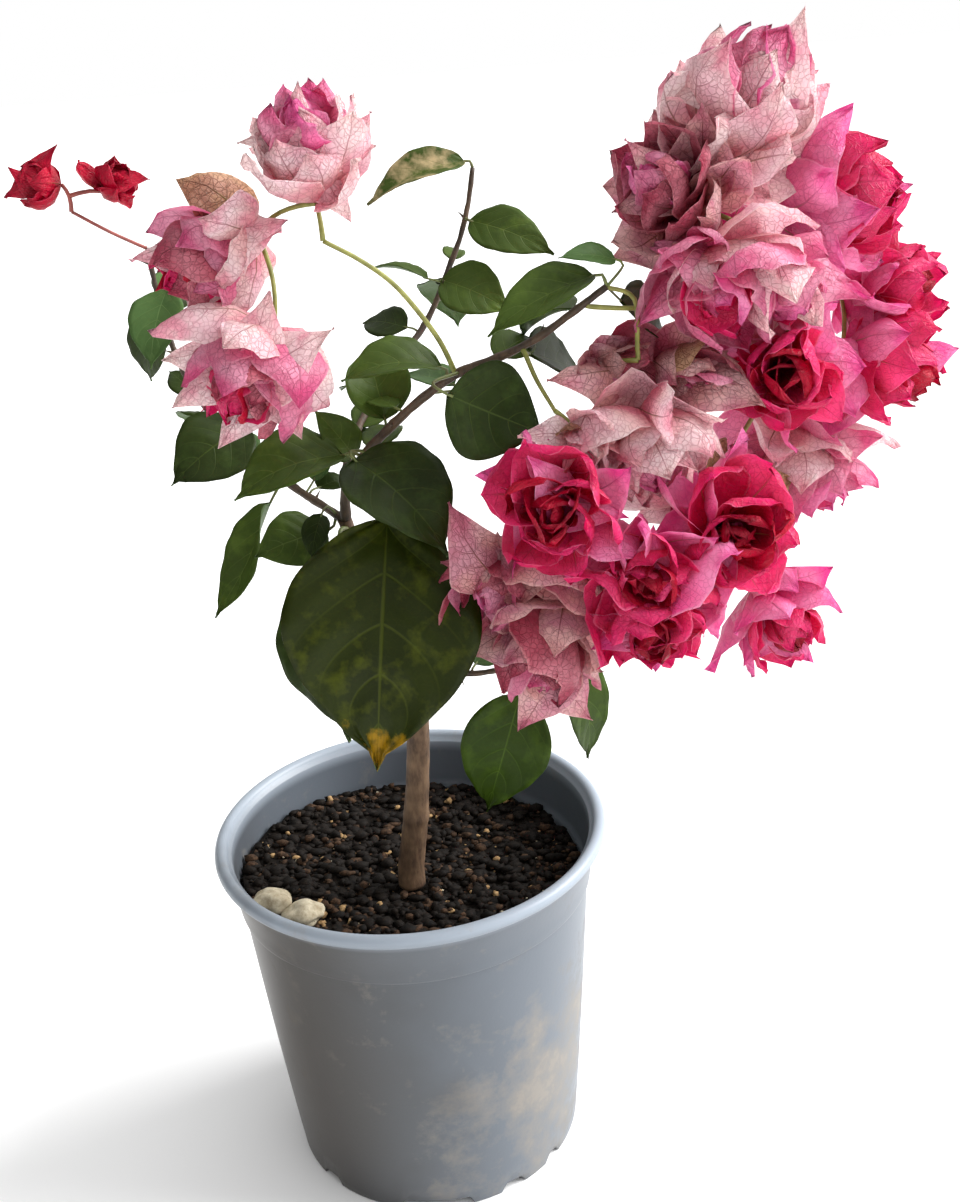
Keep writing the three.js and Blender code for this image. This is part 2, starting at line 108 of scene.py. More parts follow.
# Flower heads: the way each opens, how its bracts lie, its colours and the stalks that carry it.
HEADS = {
    "left_top_head": ((-0.05, -0.2, 1), "lantern", "pale", "left"),
    "left_outer_head": ((-0.9, -0.25, -0.4), "lantern", "dusk", "left"),
    "left_low_head": ((-0.5, -0.4, -0.75), "lantern", "dusk", "left"),
    "right_top_head": ((0.5, -0.1, 0.85), "lantern", "pale", "right"),
    "right_upper_head": ((-0.6, -0.4, 0.45), "ragged", "faded", "right"),
    "right_outer_head": ((0.9, -0.3, 0.15), "lantern", "rose", "right"),
    "right_inner_head": ((0.25, -0.5, -0.8), "lantern", "blush", "right"),
    "far_right_head": ((0.85, -0.4, 0.1), "ragged", "rose", "right"),
    "right_middle_head": ((-0.1, -0.9, 0.2), "rosette", "hot", "right"),
    "far_right_low_head": ((0.8, -0.4, -0.4), "ragged", "hot", "right"),
    "right_lower_head": ((0.4, -0.4, -0.8), "ragged", "blush", "right"),
    "pale_right_head": ((0.7, -0.6, -0.4), "ragged", "faded", "front"),
    "front_upper_head": ((0.1, -0.6, -0.8), "lantern", "pale", "front"),
    "front_left_head": ((-0.35, -0.9, 0.1), "rosette", "hot", "front"),
    "front_middle_head": ((0, -0.85, -0.5), "rosette", "hot", "front"),
    "front_right_head": ((0.3, -0.9, 0.2), "rosette", "hot", "front"),
    "front_low_head": ((-0.35, -0.45, -0.85), "ragged", "faded", "front"),
    "low_right_head": ((0.5, -0.5, -0.7), "ragged", "rose", "front"),
    "back_upper_head": ((0.25, 0.9, 0.25), "lantern", "rose", "right"),
    "back_lower_head": ((0.1, 0.85, -0.5), "rosette", "dusk", "right"),
    "far_left_head": ((-0.9, -0.3, 0.2), "bud", "red", "far_left"),
    "far_left_small_head": ((0.5, -0.4, 0.6), "bud", "red", "far_left"),
}
STALK_ROOTS = {
    "left": ["left_flower_stalk"],
    "right": ["right_bough", "right_flower_stalk"],
    "front": ["hanging_flower_stalk", "front_flower_stalk"],
    "far_left": ["far_left_flower_stalk"],
}
# The inner layers turn darker, to wine and crimson: partly the bracts' own deeper colour, partly painted
# shade in the heart of the head.
PALETTES = {      # from the outermost bracts to the heart
    "pale": ["pale", "pale", "pale", "dusky", "rose"],
    "faded": ["faded", "faded", "wine", "dusky", "rose"],
    "blush": ["dusky", "pale", "dusky", "rose", "magenta"],
    "dusk": ["pale", "dusky", "wine", "magenta", "crimson"],
    "rose": ["rose", "rose", "magenta", "magenta", "crimson"],
    "hot": ["rose", "magenta", "magenta", "crimson", "crimson"],
    "red": ["crimson"] * 5,
}
BRACT_SLOTS = {
    "pale": "pale_bract",
    "faded": "pale_bract",
    "olive": "pale_bract",
    "dusky": "rose_bract",
    "rose": "rose_bract",
    "magenta": "rose_bract",
    "crimson": "crimson_bract",
    "wine": "rose_bract",
}


def linear(code):
    """An sRGB hex colour as linear red, green, blue and alpha."""
    shares = [int(code[i:i + 2], 16) / 255 for i in (1, 3, 5)]
    return [*(c / 12.92 if c <= 0.04045 else ((c + 0.055) / 1.055) ** 2.4 for c in shares), 1]


def add(tree, kind, inputs=None, **settings):
    """A shader node with its settings, its inputs set to values or linked to sockets."""
    node = tree.nodes.new("ShaderNode" + kind)
    for name, value in settings.items():
        setattr(node, name, value)
    for key, value in (inputs or {}).items():
        if isinstance(value, bpy.types.NodeSocket):
            tree.links.new(value, node.inputs[key])
        else:
            node.inputs[key].default_value = value
    return node


def new_material(name, **sockets):
    """A material with one Principled shader, whose sockets are set by name."""
    material = bpy.data.materials.new(name)
    material.use_nodes = True
    tree = material.node_tree
    shader = tree.nodes["Principled BSDF"]
    for key, value in sockets.items():
        shader.inputs[key].default_value = value
    return material, tree, shader


# ---------------------------------------------------------------- materials

def blade_veins(tree, pairs, sweep, cell, net_share):
    """How strongly veins show on a blade: its midrib, its arching side veins and the net between them.

    Returns the midrib, all veins, how far along and how far out on the blade a spot lies, and its map."""
    own = add(tree, "UVMap", uv_map="Blade").outputs["UV"]
    spot = add(tree, "SeparateXYZ", {0: own})
    along = spot.outputs["Y"]
    centred = add(tree, "Math", {0: spot.outputs["X"], 1: 0.5}, operation="SUBTRACT").outputs[0]
    out = add(tree, "Math", {0: centred}, operation="ABSOLUTE").outputs[0]
    midrib = add(tree, "MapRange", {0: out, 1: 0.003, 2: 0.015, 3: 1.0, 4: 0.0},
                 interpolation_type="SMOOTHSTEP")
    share = add(tree, "Math", {0: out, 1: 2.0}, operation="MULTIPLY").outputs[0]
    arch = add(tree, "Math", {0: share, 1: 1.3}, operation="POWER").outputs[0]
    swept = add(tree, "Math", {0: arch, 1: sweep, 2: 0.02}, operation="MULTIPLY_ADD").outputs[0]
    level = add(tree, "Math", {0: along, 1: swept}, operation="SUBTRACT").outputs[0]
    phase = add(tree, "Math", {0: level, 1: float(pairs)}, operation="MULTIPLY").outputs[0]
    fraction = add(tree, "Math", {0: phase, 1: 0.5}, operation="PINGPONG").outputs[0]
    side = add(tree, "MapRange", {0: fraction, 1: 0.01, 2: 0.05, 3: 1.0, 4: 0.0},
               interpolation_type="SMOOTHSTEP")
    fade = add(tree, "MapRange", {0: share, 1: 0.1, 2: 0.95, 3: 0.8, 4: 0.1})
    side_share = add(tree, "Math", {0: side.outputs[0], 1: fade.outputs[0]}, operation="MULTIPLY").outputs[0]
    place = add(tree, "TexCoord").outputs["Object"]
    warp = add(tree, "TexNoise", {"Vector": place, "Scale": 0.4 / (cell * MM), "Detail": 1.0})
    bent = add(tree, "Mix", {0: 0.0015, 4: place, 5: warp.outputs["Color"]}, data_type="VECTOR").outputs[1]
    net = add(tree, "TexVoronoi", {"Vector": bent, "Scale": 1 / (cell * MM)}, feature="DISTANCE_TO_EDGE")
    thread = add(tree, "MapRange", {0: net.outputs["Distance"], 1: 0.0, 2: 0.09, 3: net_share, 4: 0.0})
    finer = add(tree, "Math", {0: side_share, 1: thread.outputs[0]}, operation="MAXIMUM").outputs[0]
    veins = add(tree, "Math", {0: finer, 1: midrib.outputs[0]}, operation="MAXIMUM").outputs[0]
    return midrib.outputs[0], veins, along, share, own


def bract_material(kind, face, shade, vein, glow, vein_share, rim, highlight_and_bleach):
    """Dry papery bract: silky and crinkled, a painted highlight round its middle that is partly bleaching,
    painted shade and a deeper colour towards its foot, a net of darker veins, a painted highlight along its
    rim.
    """
    material, tree, shader = new_material(f"papery bract, {kind}", Roughness=0.38, IOR=1.35)
    midrib, veins, along, out, own = blade_veins(tree, 6, 0.3, 2.0, 0.5)
    place = add(tree, "TexCoord").outputs["Object"]
    blotch = add(tree, "TexNoise", {"Vector": place, "Scale": 1 / (13 * MM), "Detail": 3.0}).outputs["Fac"]
    tone = add(tree, "MapRange", {0: blotch, 1: 0.4, 2: 0.6}).outputs[0]
    plain = add(tree, "Mix", {0: tone, 6: linear(face), 7: linear(shade)}, data_type="RGBA").outputs[2]
    # Painted shade: darker towards the foot, where the bracts crowd together, partly the bract's own deeper
    # colour there.
    foot_shade = add(tree, "MapRange", {0: along, 1: 0.02, 2: 0.5, 3: 0.5, 4: 0.0}).outputs[0]
    foot_shaded = add(tree, "Mix", {0: foot_shade, 6: plain, 7: linear(shade)}, data_type="RGBA", blend_type="MULTIPLY")
    # Painted highlight: a near-white band across the middle of the blade, partly the bract's bleaching.
    ragged = add(tree, "Math", {0: blotch, 1: 0.6, 2: along}, operation="MULTIPLY_ADD").outputs[0]
    apart = add(tree, "Math", {0: ragged, 1: 0.88}, operation="SUBTRACT").outputs[0]
    distance = add(tree, "Math", {0: apart}, operation="ABSOLUTE").outputs[0]
    painted_highlight_share = add(tree, "MapRange", {0: distance, 1: 0.04, 2: 0.3, 3: highlight_and_bleach, 4: 0.0}).outputs[0]
    highlighted = add(tree, "Mix", {0: painted_highlight_share, 6: foot_shaded.outputs[2], 7: linear("#fff0f4")}, data_type="RGBA")
    share = add(tree, "Math", {0: veins, 1: vein_share}, operation="MULTIPLY").outputs[0]
    veined = add(tree, "Mix", {0: share, 6: highlighted.outputs[2], 7: linear(vein)}, data_type="RGBA").outputs[2]
    # Painted highlight: a paler line along the edge of the blade, where light catches the rim.
    edge = add(tree, "MapRange", {0: out, 1: 0.94, 2: 0.99, 3: 0.0, 4: 0.5})
    rim_highlighted = add(tree, "Mix", {0: edge.outputs[0], 6: veined, 7: linear(rim)}, data_type="RGBA").outputs[2]
    foot = add(tree, "MapRange", {0: along, 1: 0.05, 2: 0.6, 3: 0.8, 4: 0.0})
    green = add(tree, "Math", {0: foot.outputs[0], 1: midrib}, operation="MULTIPLY").outputs[0]
    colour = add(tree, "Mix", {0: green, 6: rim_highlighted, 7: linear("#8f8a45")}, data_type="RGBA").outputs[2]
    spread = add(tree, "VectorMath", {0: place, "Scale": 45.0}, operation="SCALE").outputs[0]
    drawn = add(tree, "VectorMath", {0: own, 1: (8, 1.8, 1), 2: spread}, operation="MULTIPLY_ADD").outputs[0]
    fold = add(tree, "TexNoise", {"Vector": drawn, "Scale": 1.0, "Detail": 4.0, "Roughness": 0.55})
    crease = add(tree, "TexNoise", {"Vector": place, "Scale": 1 / (3 * MM), "Detail": 3.0}).outputs["Fac"]
    fine = add(tree, "Math", {0: crease, 1: 0.3, 2: share}, operation="MULTIPLY_ADD").outputs[0]
    height = add(tree, "Math", {0: fold.outputs["Fac"], 1: 1.8, 2: fine}, operation="MULTIPLY_ADD").outputs[0]
    relief = add(tree, "Bump", {"Height": height, "Strength": 0.8, "Distance": 1.2 * MM})
    tree.links.new(colour, shader.inputs["Base Color"])
    tree.links.new(relief.outputs[0], shader.inputs["Normal"])
    through = add(tree, "BsdfTranslucent", {"Color": colour, "Normal": relief.outputs[0]})
    both = add(tree, "MixShader", {0: glow, 1: shader.outputs[0], 2: through.outputs[0]})
    tree.links.new(both.outputs[0], tree.nodes["Material Output"].inputs["Surface"])
    return material


def leaf_material(name, face, shade, vein, blotch, spread, tip=None):
    """Soft satin leaf: waxy and a little uneven in green, with pale arching veins."""
    material, tree, shader = new_material(f"leaf, {name}", Roughness=0.45, IOR=1.26)
    _, veins, along, _, _ = blade_veins(tree, 5, 0.34, 2.4, 0.1)
    place = add(tree, "TexCoord").outputs["Object"]
    cloud = add(tree, "TexNoise", {"Vector": place, "Scale": 1 / (22 * MM), "Detail": 3.0})
    tone = add(tree, "MapRange", {0: cloud.outputs["Fac"], 1: 0.35, 2: 0.65}).outputs[0]
    plain = add(tree, "Mix", {0: tone, 6: linear(face), 7: linear(shade)}, data_type="RGBA").outputs[2]
    spots = add(tree, "TexNoise", {"Vector": place, "Scale": 1 / (11 * MM), "Detail": 4.0,
                                   "Roughness": 0.6}).outputs["Fac"]
    patch = add(tree, "MapRange", {0: spots, 1: 1 - spread, 2: 1.2 - spread, 3: 0.0, 4: 0.75}).outputs[0]
    spotted = add(tree, "Mix", {0: patch, 6: plain, 7: linear(blotch)}, data_type="RGBA").outputs[2]
    if tip:
        ragged = add(tree, "Math", {0: spots, 1: 0.5, 2: along}, operation="MULTIPLY_ADD").outputs[0]
        end = add(tree, "MapRange", {0: ragged, 1: 1.12, 2: 1.2, 3: 0.0, 4: 0.9}).outputs[0]
        spotted = add(tree, "Mix", {0: end, 6: spotted, 7: linear(tip)}, data_type="RGBA").outputs[2]
    share = add(tree, "Math", {0: veins, 1: 0.34}, operation="MULTIPLY").outputs[0]
    colour = add(tree, "Mix", {0: share, 6: spotted, 7: linear(vein)}, data_type="RGBA").outputs[2]
    sunk = add(tree, "Math", {0: veins, 1: -0.7}, operation="MULTIPLY").outputs[0]
    relief = add(tree, "Bump", {"Height": sunk, "Strength": 0.45, "Distance": 0.5 * MM})
    tree.links.new(colour, shader.inputs["Base Color"])
    tree.links.new(relief.outputs[0], shader.inputs["Normal"])
    through = add(tree, "BsdfTranslucent", {"Color": colour})
    both = add(tree, "MixShader", {0: 0.15, 1: shader.outputs[0], 2: through.outputs[0]})
    tree.links.new(both.outputs[0], tree.nodes["Material Output"].inputs["Surface"])
    return material


def bark_material(name, light, dark, grain, roughness):
    """Bark: matt and fibrous, its cracks drawn out along the stem."""
    material, tree, shader = new_material(name, Roughness=roughness)
    place = add(tree, "TexCoord").outputs["Object"]
    drawn = add(tree, "Mapping", {"Vector": place, "Scale": (1, 1, 0.3)})
    fibres = add(tree, "TexNoise", {"Vector": drawn.outputs[0], "Scale": 1 / (grain * MM), "Detail": 6.0,
                                    "Roughness": 0.68}).outputs["Fac"]
    patches = add(tree, "TexNoise", {"Vector": place, "Scale": 1 / (9 * MM), "Detail": 2.0}).outputs["Fac"]
    mottled = add(tree, "Math", {0: fibres, 1: patches}, operation="ADD").outputs[0]
    tone = add(tree, "MapRange", {0: mottled, 1: 0.75, 2: 1.25}).outputs[0]
    colour = add(tree, "Mix", {0: tone, 6: linear(dark), 7: linear(light)}, data_type="RGBA").outputs[2]
    relief = add(tree, "Bump", {"Height": fibres, "Strength": 0.6, "Distance": 0.5 * MM})
    tree.links.new(colour, shader.inputs["Base Color"])
    tree.links.new(relief.outputs[0], shader.inputs["Normal"])
    return material


def stalk_material(name, light, dark):
    """Green stalk: smooth, soft skin that darkens in streaks."""
    material, tree, shader = new_material(name, Roughness=0.5)
    place = add(tree, "TexCoord").outputs["Object"]
    streak = add(tree, "TexNoise", {"Vector": place, "Scale": 1 / (5 * MM), "Detail": 3.0})
    tone = add(tree, "MapRange", {0: streak.outputs["Fac"], 1: 0.35, 2: 0.65}).outputs[0]
    colour = add(tree, "Mix", {0: tone, 6: linear(light), 7: linear(dark)}, data_type="RGBA").outputs[2]
    tree.links.new(colour, shader.inputs["Base Color"])
    return material


def plastic_material():
    """Moulded polypropylene: satin grey, with painted shade darkening its outer wall towards the left, a
    brown film there that is partly dust and partly painted shade, a painted highlight on the lip, and dried
    lime where water ran down.
    """
    material, tree, shader = new_material("moulded polypropylene", IOR=1.42)
    limed_side = (0.052, -0.045, 0.05)
    dusty_shaded_side = (-0.085, -0.05, 0.07)
    place = add(tree, "TexCoord").outputs["Object"]
    broad = add(tree, "TexNoise", {"Vector": place, "Scale": 1 / (45 * MM), "Detail": 3.0})
    spot = add(tree, "SeparateXYZ", {0: place})
    height = spot.outputs["Z"]
    # Painted shade: the outer wall darkens towards the left, away from the light, while the inner wall keeps
    # the lit colour.
    outward = add(tree, "TexCoord").outputs["Normal"]
    facing = add(tree, "VectorMath", {0: outward, 1: place}, operation="DOT_PRODUCT").outputs["Value"]
    inside = add(tree, "MapRange", {0: facing, 1: -40 * MM, 2: 0.0, 3: 80 * MM, 4: 0.0}).outputs[0]
    painted_shade_across = add(tree, "Math", {0: spot.outputs["X"], 1: inside}, operation="ADD").outputs[0]
    uneven = add(tree, "Math", {0: broad.outputs["Fac"], 1: 0.05, 2: painted_shade_across}, operation="MULTIPLY_ADD")
    tone = add(tree, "MapRange", {0: uneven.outputs[0], 1: -0.045, 2: 0.07},
               interpolation_type="SMOOTHSTEP").outputs[0]
    # Painted highlight: the lip is a lighter grey-blue than the wall, where the sky's reflection lies.
    lip = add(tree, "MapRange", {0: height, 1: 149 * MM, 2: 156 * MM, 3: 0.0, 4: 0.9}).outputs[0]
    # The dark brown is the painted shade, the grey-blue is the lit wall.
    wall = add(tree, "Mix", {0: tone, 6: linear("#332e28"), 7: linear("#5f666e")}, data_type="RGBA")
    plain = add(tree, "Mix", {0: lip, 6: wall.outputs[2], 7: linear("#99a3ae")}, data_type="RGBA")
    blots = add(tree, "TexNoise", {"Vector": place, "Scale": 1 / (20 * MM), "Detail": 6.0, "Roughness": 0.68})
    away = add(tree, "VectorMath", {0: place, 1: limed_side}, operation="DISTANCE").outputs["Value"]
    near = add(tree, "MapRange", {0: away, 1: 10 * MM, 2: 75 * MM, 3: 0.14, 4: -0.14})
    lime = add(tree, "Math", {0: blots.outputs["Fac"], 1: near.outputs[0]}, operation="ADD").outputs[0]
    crust = add(tree, "MapRange", {0: lime, 1: 0.44, 2: 0.72, 3: 0.0, 4: 0.75}).outputs[0]
    limed = add(tree, "Mix", {0: crust, 6: plain.outputs[2], 7: linear("#8c857b")}, data_type="RGBA")
    # A brown film on the left of the wall: partly dust, partly painted shade.
    left = add(tree, "VectorMath", {0: place, 1: dusty_shaded_side}, operation="DISTANCE").outputs["Value"]
    dust_and_shade_reach = add(tree, "MapRange", {0: left, 1: 30 * MM, 2: 125 * MM, 3: 0.3, 4: -0.2})
    mud = add(tree, "Math", {0: broad.outputs["Fac"], 1: dust_and_shade_reach.outputs[0]}, operation="ADD").outputs[0]
    dust_and_shade_film = add(tree, "MapRange", {0: mud, 1: 0.45, 2: 0.85, 3: 0.0, 4: 0.6}).outputs[0]
    colour = add(tree, "Mix", {0: dust_and_shade_film, 6: limed.outputs[2], 7: linear("#352e25")}, data_type="RGBA")
    rough = add(tree, "MapRange", {0: crust, 1: 0.0, 2: 0.6, 3: 0.36, 4: 0.7})
    scuffs = add(tree, "TexNoise", {"Vector": place, "Scale": 1 / (1.5 * MM), "Detail": 3.0})
    relief = add(tree, "Bump", {"Height": scuffs.outputs["Fac"], "Strength": 0.12, "Distance": 0.3 * MM})
    tree.links.new(colour.outputs[2], shader.inputs["Base Color"])
    tree.links.new(rough.outputs[0], shader.inputs["Roughness"])
    tree.links.new(relief.outputs[0], shader.inputs["Normal"])
    return material


def grain_material(name, light, dark, grain, roughness):
    """Loose grains: earth, grit or stone, broken up in tone and rough to the light."""
    material, tree, shader = new_material(name, Roughness=roughness, IOR=1.25)
    place = add(tree, "TexCoord").outputs["Object"]
    speck = add(tree, "TexNoise", {"Vector": place, "Scale": 1 / (grain * MM), "Detail": 5.0,
                                   "Roughness": 0.7}).outputs["Fac"]
    tone = add(tree, "MapRange", {0: speck, 1: 0.35, 2: 0.68}).outputs[0]
    colour = add(tree, "Mix", {0: tone, 6: linear(dark), 7: linear(light)}, data_type="RGBA").outputs[2]
    relief = add(tree, "Bump", {"Height": speck, "Strength": 0.7, "Distance": 0.6 * MM})
    tree.links.new(colour, shader.inputs["Base Color"])
    tree.links.new(relief.outputs[0], shader.inputs["Normal"])
    return material


BRACTS = {
    "pale": bract_material("pale pink", "#ffe2de", "#f6a8ba", "#a8405a", 0.46, 0.6, "#fff0ec", 0.55),
    "faded": bract_material("faded salmon", "#eab4b0", "#d0788e", "#86323a", 0.42, 0.7, "#f8d4cc", 0.22),
    "dusky": bract_material("dusky pink", "#f292b6", "#e25e90", "#9e2e58", 0.46, 0.52, "#f8c0d0", 0.2),
    "rose": bract_material("rose pink", "#f87cb8", "#ec4c98", "#b4286c", 0.4, 0.4, "#fab8d4", 0.16),
    "magenta": bract_material("magenta", "#f02c76", "#dc185a", "#a8124a", 0.34, 0.36, "#f68cb0", 0.04),
    "crimson": bract_material("crimson", "#c40a34", "#9c0628", "#70061c", 0.28, 0.28, "#dc4c6c", 0.0),
    "wine": bract_material("dull wine pink", "#cc687a", "#ae4058", "#6e2030", 0.32, 0.62, "#e4a0a4", 0.1),
    "olive": bract_material("olive pink", "#c49a74", "#ac7a62", "#64402e", 0.38, 0.8, "#d4b490", 0.05),
}
LEAVES = {
    "mottled": leaf_material("mottled green", "#2a3304", "#1d2502", "#5c661c", "#4e560c", 0.5, "#ac8216"),
    "dark": leaf_material("dark green", "#2c3a10", "#212d0a", "#586a2c", "#384a1a", 0.5),
    "mid": leaf_material("mid green", "#465a20", "#384916", "#748640", "#566c26", 0.5),
    "fresh": leaf_material("fresh green", "#33470a", "#273906", "#5e7a26", "#465e12", 0.5),
    "light": leaf_material("light green", "#4e6c3a", "#40592e", "#82a060", "#628046", 0.5),
    "scorched": leaf_material("scorched", "#42541c", "#354616", "#788438", "#d2b88c", 0.56),
}
UNDERSIDE = leaf_material("underside", "#5a7244", "#4c643a", "#84995e", "#657e44", 0.5)
BARK = bark_material("grey-brown bark", "#7e6349", "#463222", 2.2, 0.7)
YOUNG_BARK = bark_material("young brown bark", "#584430", "#2c2014", 1.6, 0.6)
GREEN_STALK = stalk_material("green flower stalk", "#98994f", "#747536")
RED_STALK = stalk_material("red-brown flower stalk", "#9c5046", "#7c3a34")
PETIOLE = stalk_material("leaf stalk", "#6c7a40", "#5a5a30")
PLASTIC = plastic_material()
EARTH = grain_material("damp potting soil", "#1c140d", "#060403", 2.0, 0.7)
FIBRE = grain_material("composted bark", "#56402f", "#1c130d", 2.0, 0.8)
GRIT = grain_material("tan grit", "#b3946a", "#8a6d48", 1.5, 0.75)
STONE = grain_material("pale stone", "#d8cfb6", "#9a8c72", 6.0, 0.65)


# ------------------------------------------------------- what the CAD solids say

def corner_points(node):
    """The corners of a CAD solid, each one once."""
    corners = {tuple(round(c, 6) for c in v.co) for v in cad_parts[node].data.vertices}
    return [Vector(corner) for corner in sorted(corners)]


def mean(points):
    """The middle of a set of points."""
    return sum(points, Vector()) / len(points)


def far_ends(points):
    """The two points of a set that lie furthest apart."""
    middle = mean(points)
    first = max(points, key=lambda p: (p - middle).length)
    second = max(points, key=lambda p: (p - first).length)
    return first, second


def slices(points, along, gap):
    """The points in groups along a direction, parted where a gap lies between them."""
    ordered = sorted(points, key=along.dot)
    groups = [[ordered[0]]]
    for before, point in zip(ordered, ordered[1:]):
        if along.dot(point - before) > gap:
            groups.append([])
        groups[-1].append(point)
    return groups


def limb_line(node, origin):
    """A limb's middle line and its radii, from the end nearest to origin, read from its solid's rings."""
    points = corner_points(node)
    start, end = sorted(far_ends(points), key=lambda p: (p - origin).length)
    along = (end - start).normalized()
    rings = [ring for ring in slices(points, along, 1.6 * MM) if len(ring) > 5]
    line = [mean(ring) for ring in rings]
    radii = []
    for k, ring in enumerate(rings):
        way = (line[min(k + 1, len(line) - 1)] - line[max(k - 1, 0)]).normalized()
        radii.append(sum(way.cross(p - line[k]).length for p in ring) / len(ring))
    return line, radii


def smooth_line(points, step):
    """Points about a step apart on a smooth curve through the given ones."""
    padded = [2 * points[0] - points[1], *points, 2 * points[-1] - points[-2]]
    out = []
    for a, b, c, d in zip(padded, padded[1:], padded[2:], padded[3:]):
        count = max(1, round((c - b).length / step))
        for k in range(count):
            t = k / count
            out.append(0.5 * (2 * b + (c - a) * t + (2 * a - 5 * b + 4 * c - d) * t ** 2
                              + (3 * b - 3 * c + d - a) * t ** 3))
    return [*out, points[-1].copy()]


def nearest_on(line, point):
    """The point of a line that lies nearest to a spot."""
    return min(line, key=lambda p: (p - point).length)


# ---------------------------------------------------------------- mesh making

def new_mesh():
    """An empty mesh with the blade map that veins follow."""
    mesh = bmesh.new()
    mesh.loops.layers.uv.new("Blade")
    return mesh


def finish_piece(name, mesh, materials, slot, replaced=()):
    """Turns a bmesh into a named piece that rides on the plant and stands for its CAD nodes."""
    data = bpy.data.meshes.new(name)
    mesh.to_mesh(data)
    mesh.free()
    data.shade_smooth()
    for material in materials:
        data.materials.append(material)
    piece = bpy.data.objects.new(name, data)
    bpy.context.scene.collection.objects.link(piece)
    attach(piece, BODY)
    if replaced:
        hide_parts(*replaced)
    return piece


def grow_tube(mesh, line, radii, sides):
    """A tapering tube: a ring drawn out from point to point of a line, closed at both ends."""
    before = UP
    ring = bmesh.ops.create_circle(mesh, segments=sides, radius=1)["verts"]
    made = list(ring)
    edges = list({edge for vertex in ring for edge in vertex.link_edges})
    bmesh.ops.scale(mesh, vec=(radii[0],) * 3, verts=ring)
    place = Vector()
    ends = [edges]
    for step, point in enumerate(line):
        ahead = line[min(step + 1, len(line) - 1)] - line[max(step - 1, 0)]
        ahead = ahead.normalized() if ahead.length > 1e-9 else before
        if step:
            grown = bmesh.ops.extrude_edge_only(mesh, edges=edges)["geom"]
            ring = [g for g in grown if isinstance(g, bmesh.types.BMVert)]
            edges = [g for g in grown
                     if isinstance(g, bmesh.types.BMEdge) and all(v in ring for v in g.verts)]
            made += ring
            grow = radii[step] / radii[step - 1]
            bmesh.ops.scale(mesh, vec=(grow,) * 3, verts=ring, space=Matrix.Translation(-place))
        turn = before.rotation_difference(ahead).to_matrix()
        bmesh.ops.rotate(mesh, cent=place, matrix=turn, verts=ring)
        bmesh.ops.translate(mesh, vec=point - place, verts=ring)
        place = point
        before = ahead
    ends.append(edges)
    for rim in ends:
        bmesh.ops.edgeloop_fill(mesh, edges=rim)
    return made


def add_relief(mesh, vertices, depth, grain, stretch):
    """Moves the skin in and out by noise that is drawn out along the stem."""
    mesh.normal_update()
    moves = []
    for vertex in vertices:
        spot = Vector((vertex.co.x, vertex.co.y, vertex.co.z / stretch)) / grain
        moves.append(vertex.normal * (depth * noise.fractal(spot, 0.9, 2.0, 3)))
    for vertex, move in zip(vertices, moves):
        vertex.co += move


def leaf_outline(along, belly):
    """Half width of a leaf as a share of its widest, from its stalk at 0 to its drawn-out point at 1."""
    body = math.sin(math.pi * (along / 0.93) ** belly) ** 0.78 if along < 0.93 else 0
    point = 0.08 * min(1, (1 - along) / 0.06) * min(1, along * 2)
    return (body ** 3 + point ** 3) ** (1 / 3)


def bract_outline(along, blunt):
    """Half width of a bract: round at its foot, then drawn out to a sharp point or left blunt."""
    sharp = math.sin(math.pi * along ** 0.57) ** 0.74 * (1 - 0.55 * along ** 4)
    round_end = math.sin(math.pi * along ** 0.86) ** 0.55
    return sharp + (round_end - sharp) * blunt


def add_blade(mesh, columns, rows, frames, place):
    """One blade: a grid whose corners are placed by how far across (-1 to 1) and along they lie."""
    grid = bmesh.ops.create_grid(mesh, x_segments=columns, y_segments=rows, size=0.5)["verts"]
    own_map = mesh.loops.layers.uv["Blade"]
    shares = [(vertex.co.x + 0.5, vertex.co.y + 0.5) for vertex in grid]
    for vertex, (across, along) in zip(grid, shares):
        for loop in vertex.link_loops:
            loop[own_map].uv = (across, along)
        vertex.co = place(2 * across - 1, along, frames[round(along * rows)])
    bmesh.ops.remove_doubles(mesh, verts=grid, dist=0.02 * MM)


def row_frames(middle, side, rows):
    """At each row of a blade: its middle point, the way across and the way out of its upper face."""
    frames = []
    for row in range(rows + 1):
        along = row / rows
        ahead = middle(min(along + 0.02, 1)) - middle(max(along - 0.02, 0))
        out = side.cross(ahead).normalized()
        frames.append((middle(along), side, out))
    return frames


def add_bract(mesh, foot, belly, tip, width, blunt, flare, rng):
    """A bract that runs from its foot over its belly to its tip, cupped inwards and crimped at its edges."""
    chord = tip - foot
    bulge = belly - (foot + tip) / 2
    side = chord.cross(bulge).normalized()
    knee = belly * 2 - (foot + tip) / 2
    sweep = side * rng.uniform(-0.12, 0.12) * chord.length
    raised = bulge.normalized() * flare * chord.length
    phase = rng.uniform(0, 90)
    cup = rng.uniform(0.45, 0.95)
    keel = rng.uniform(0.02, 0.16)
    ruffle = rng.uniform(0.08, 0.16) * width

    def middle(t):
        point = foot * (1 - t) ** 2 + knee * 2 * t * (1 - t) + tip * t ** 2
        return point + sweep * math.sin(math.pi * t) + raised * t ** 4

    def place(across, t, row):
        point, way, out = row
        half = width / 2 * bract_outline(t, blunt)
        angle = across * cup
        wave = noise.noise(Vector((1.6 * across + phase, 3.4 * t, phase)))
        crimp = noise.noise(Vector((5 * across + phase, 8 * t, 2 * phase)))
        lift = ruffle * wave * (0.3 + across * across) + 0.3 * ruffle * crimp
        sink = half * (1 - math.cos(angle)) / cup + abs(across) * keel * half
        return point + way * (half * math.sin(angle) / cup) + out * (lift * min(1, 4 * t) - sink)

    add_blade(mesh, BRACT_COLUMNS, BRACT_ROWS, row_frames(middle, side, BRACT_ROWS), place)


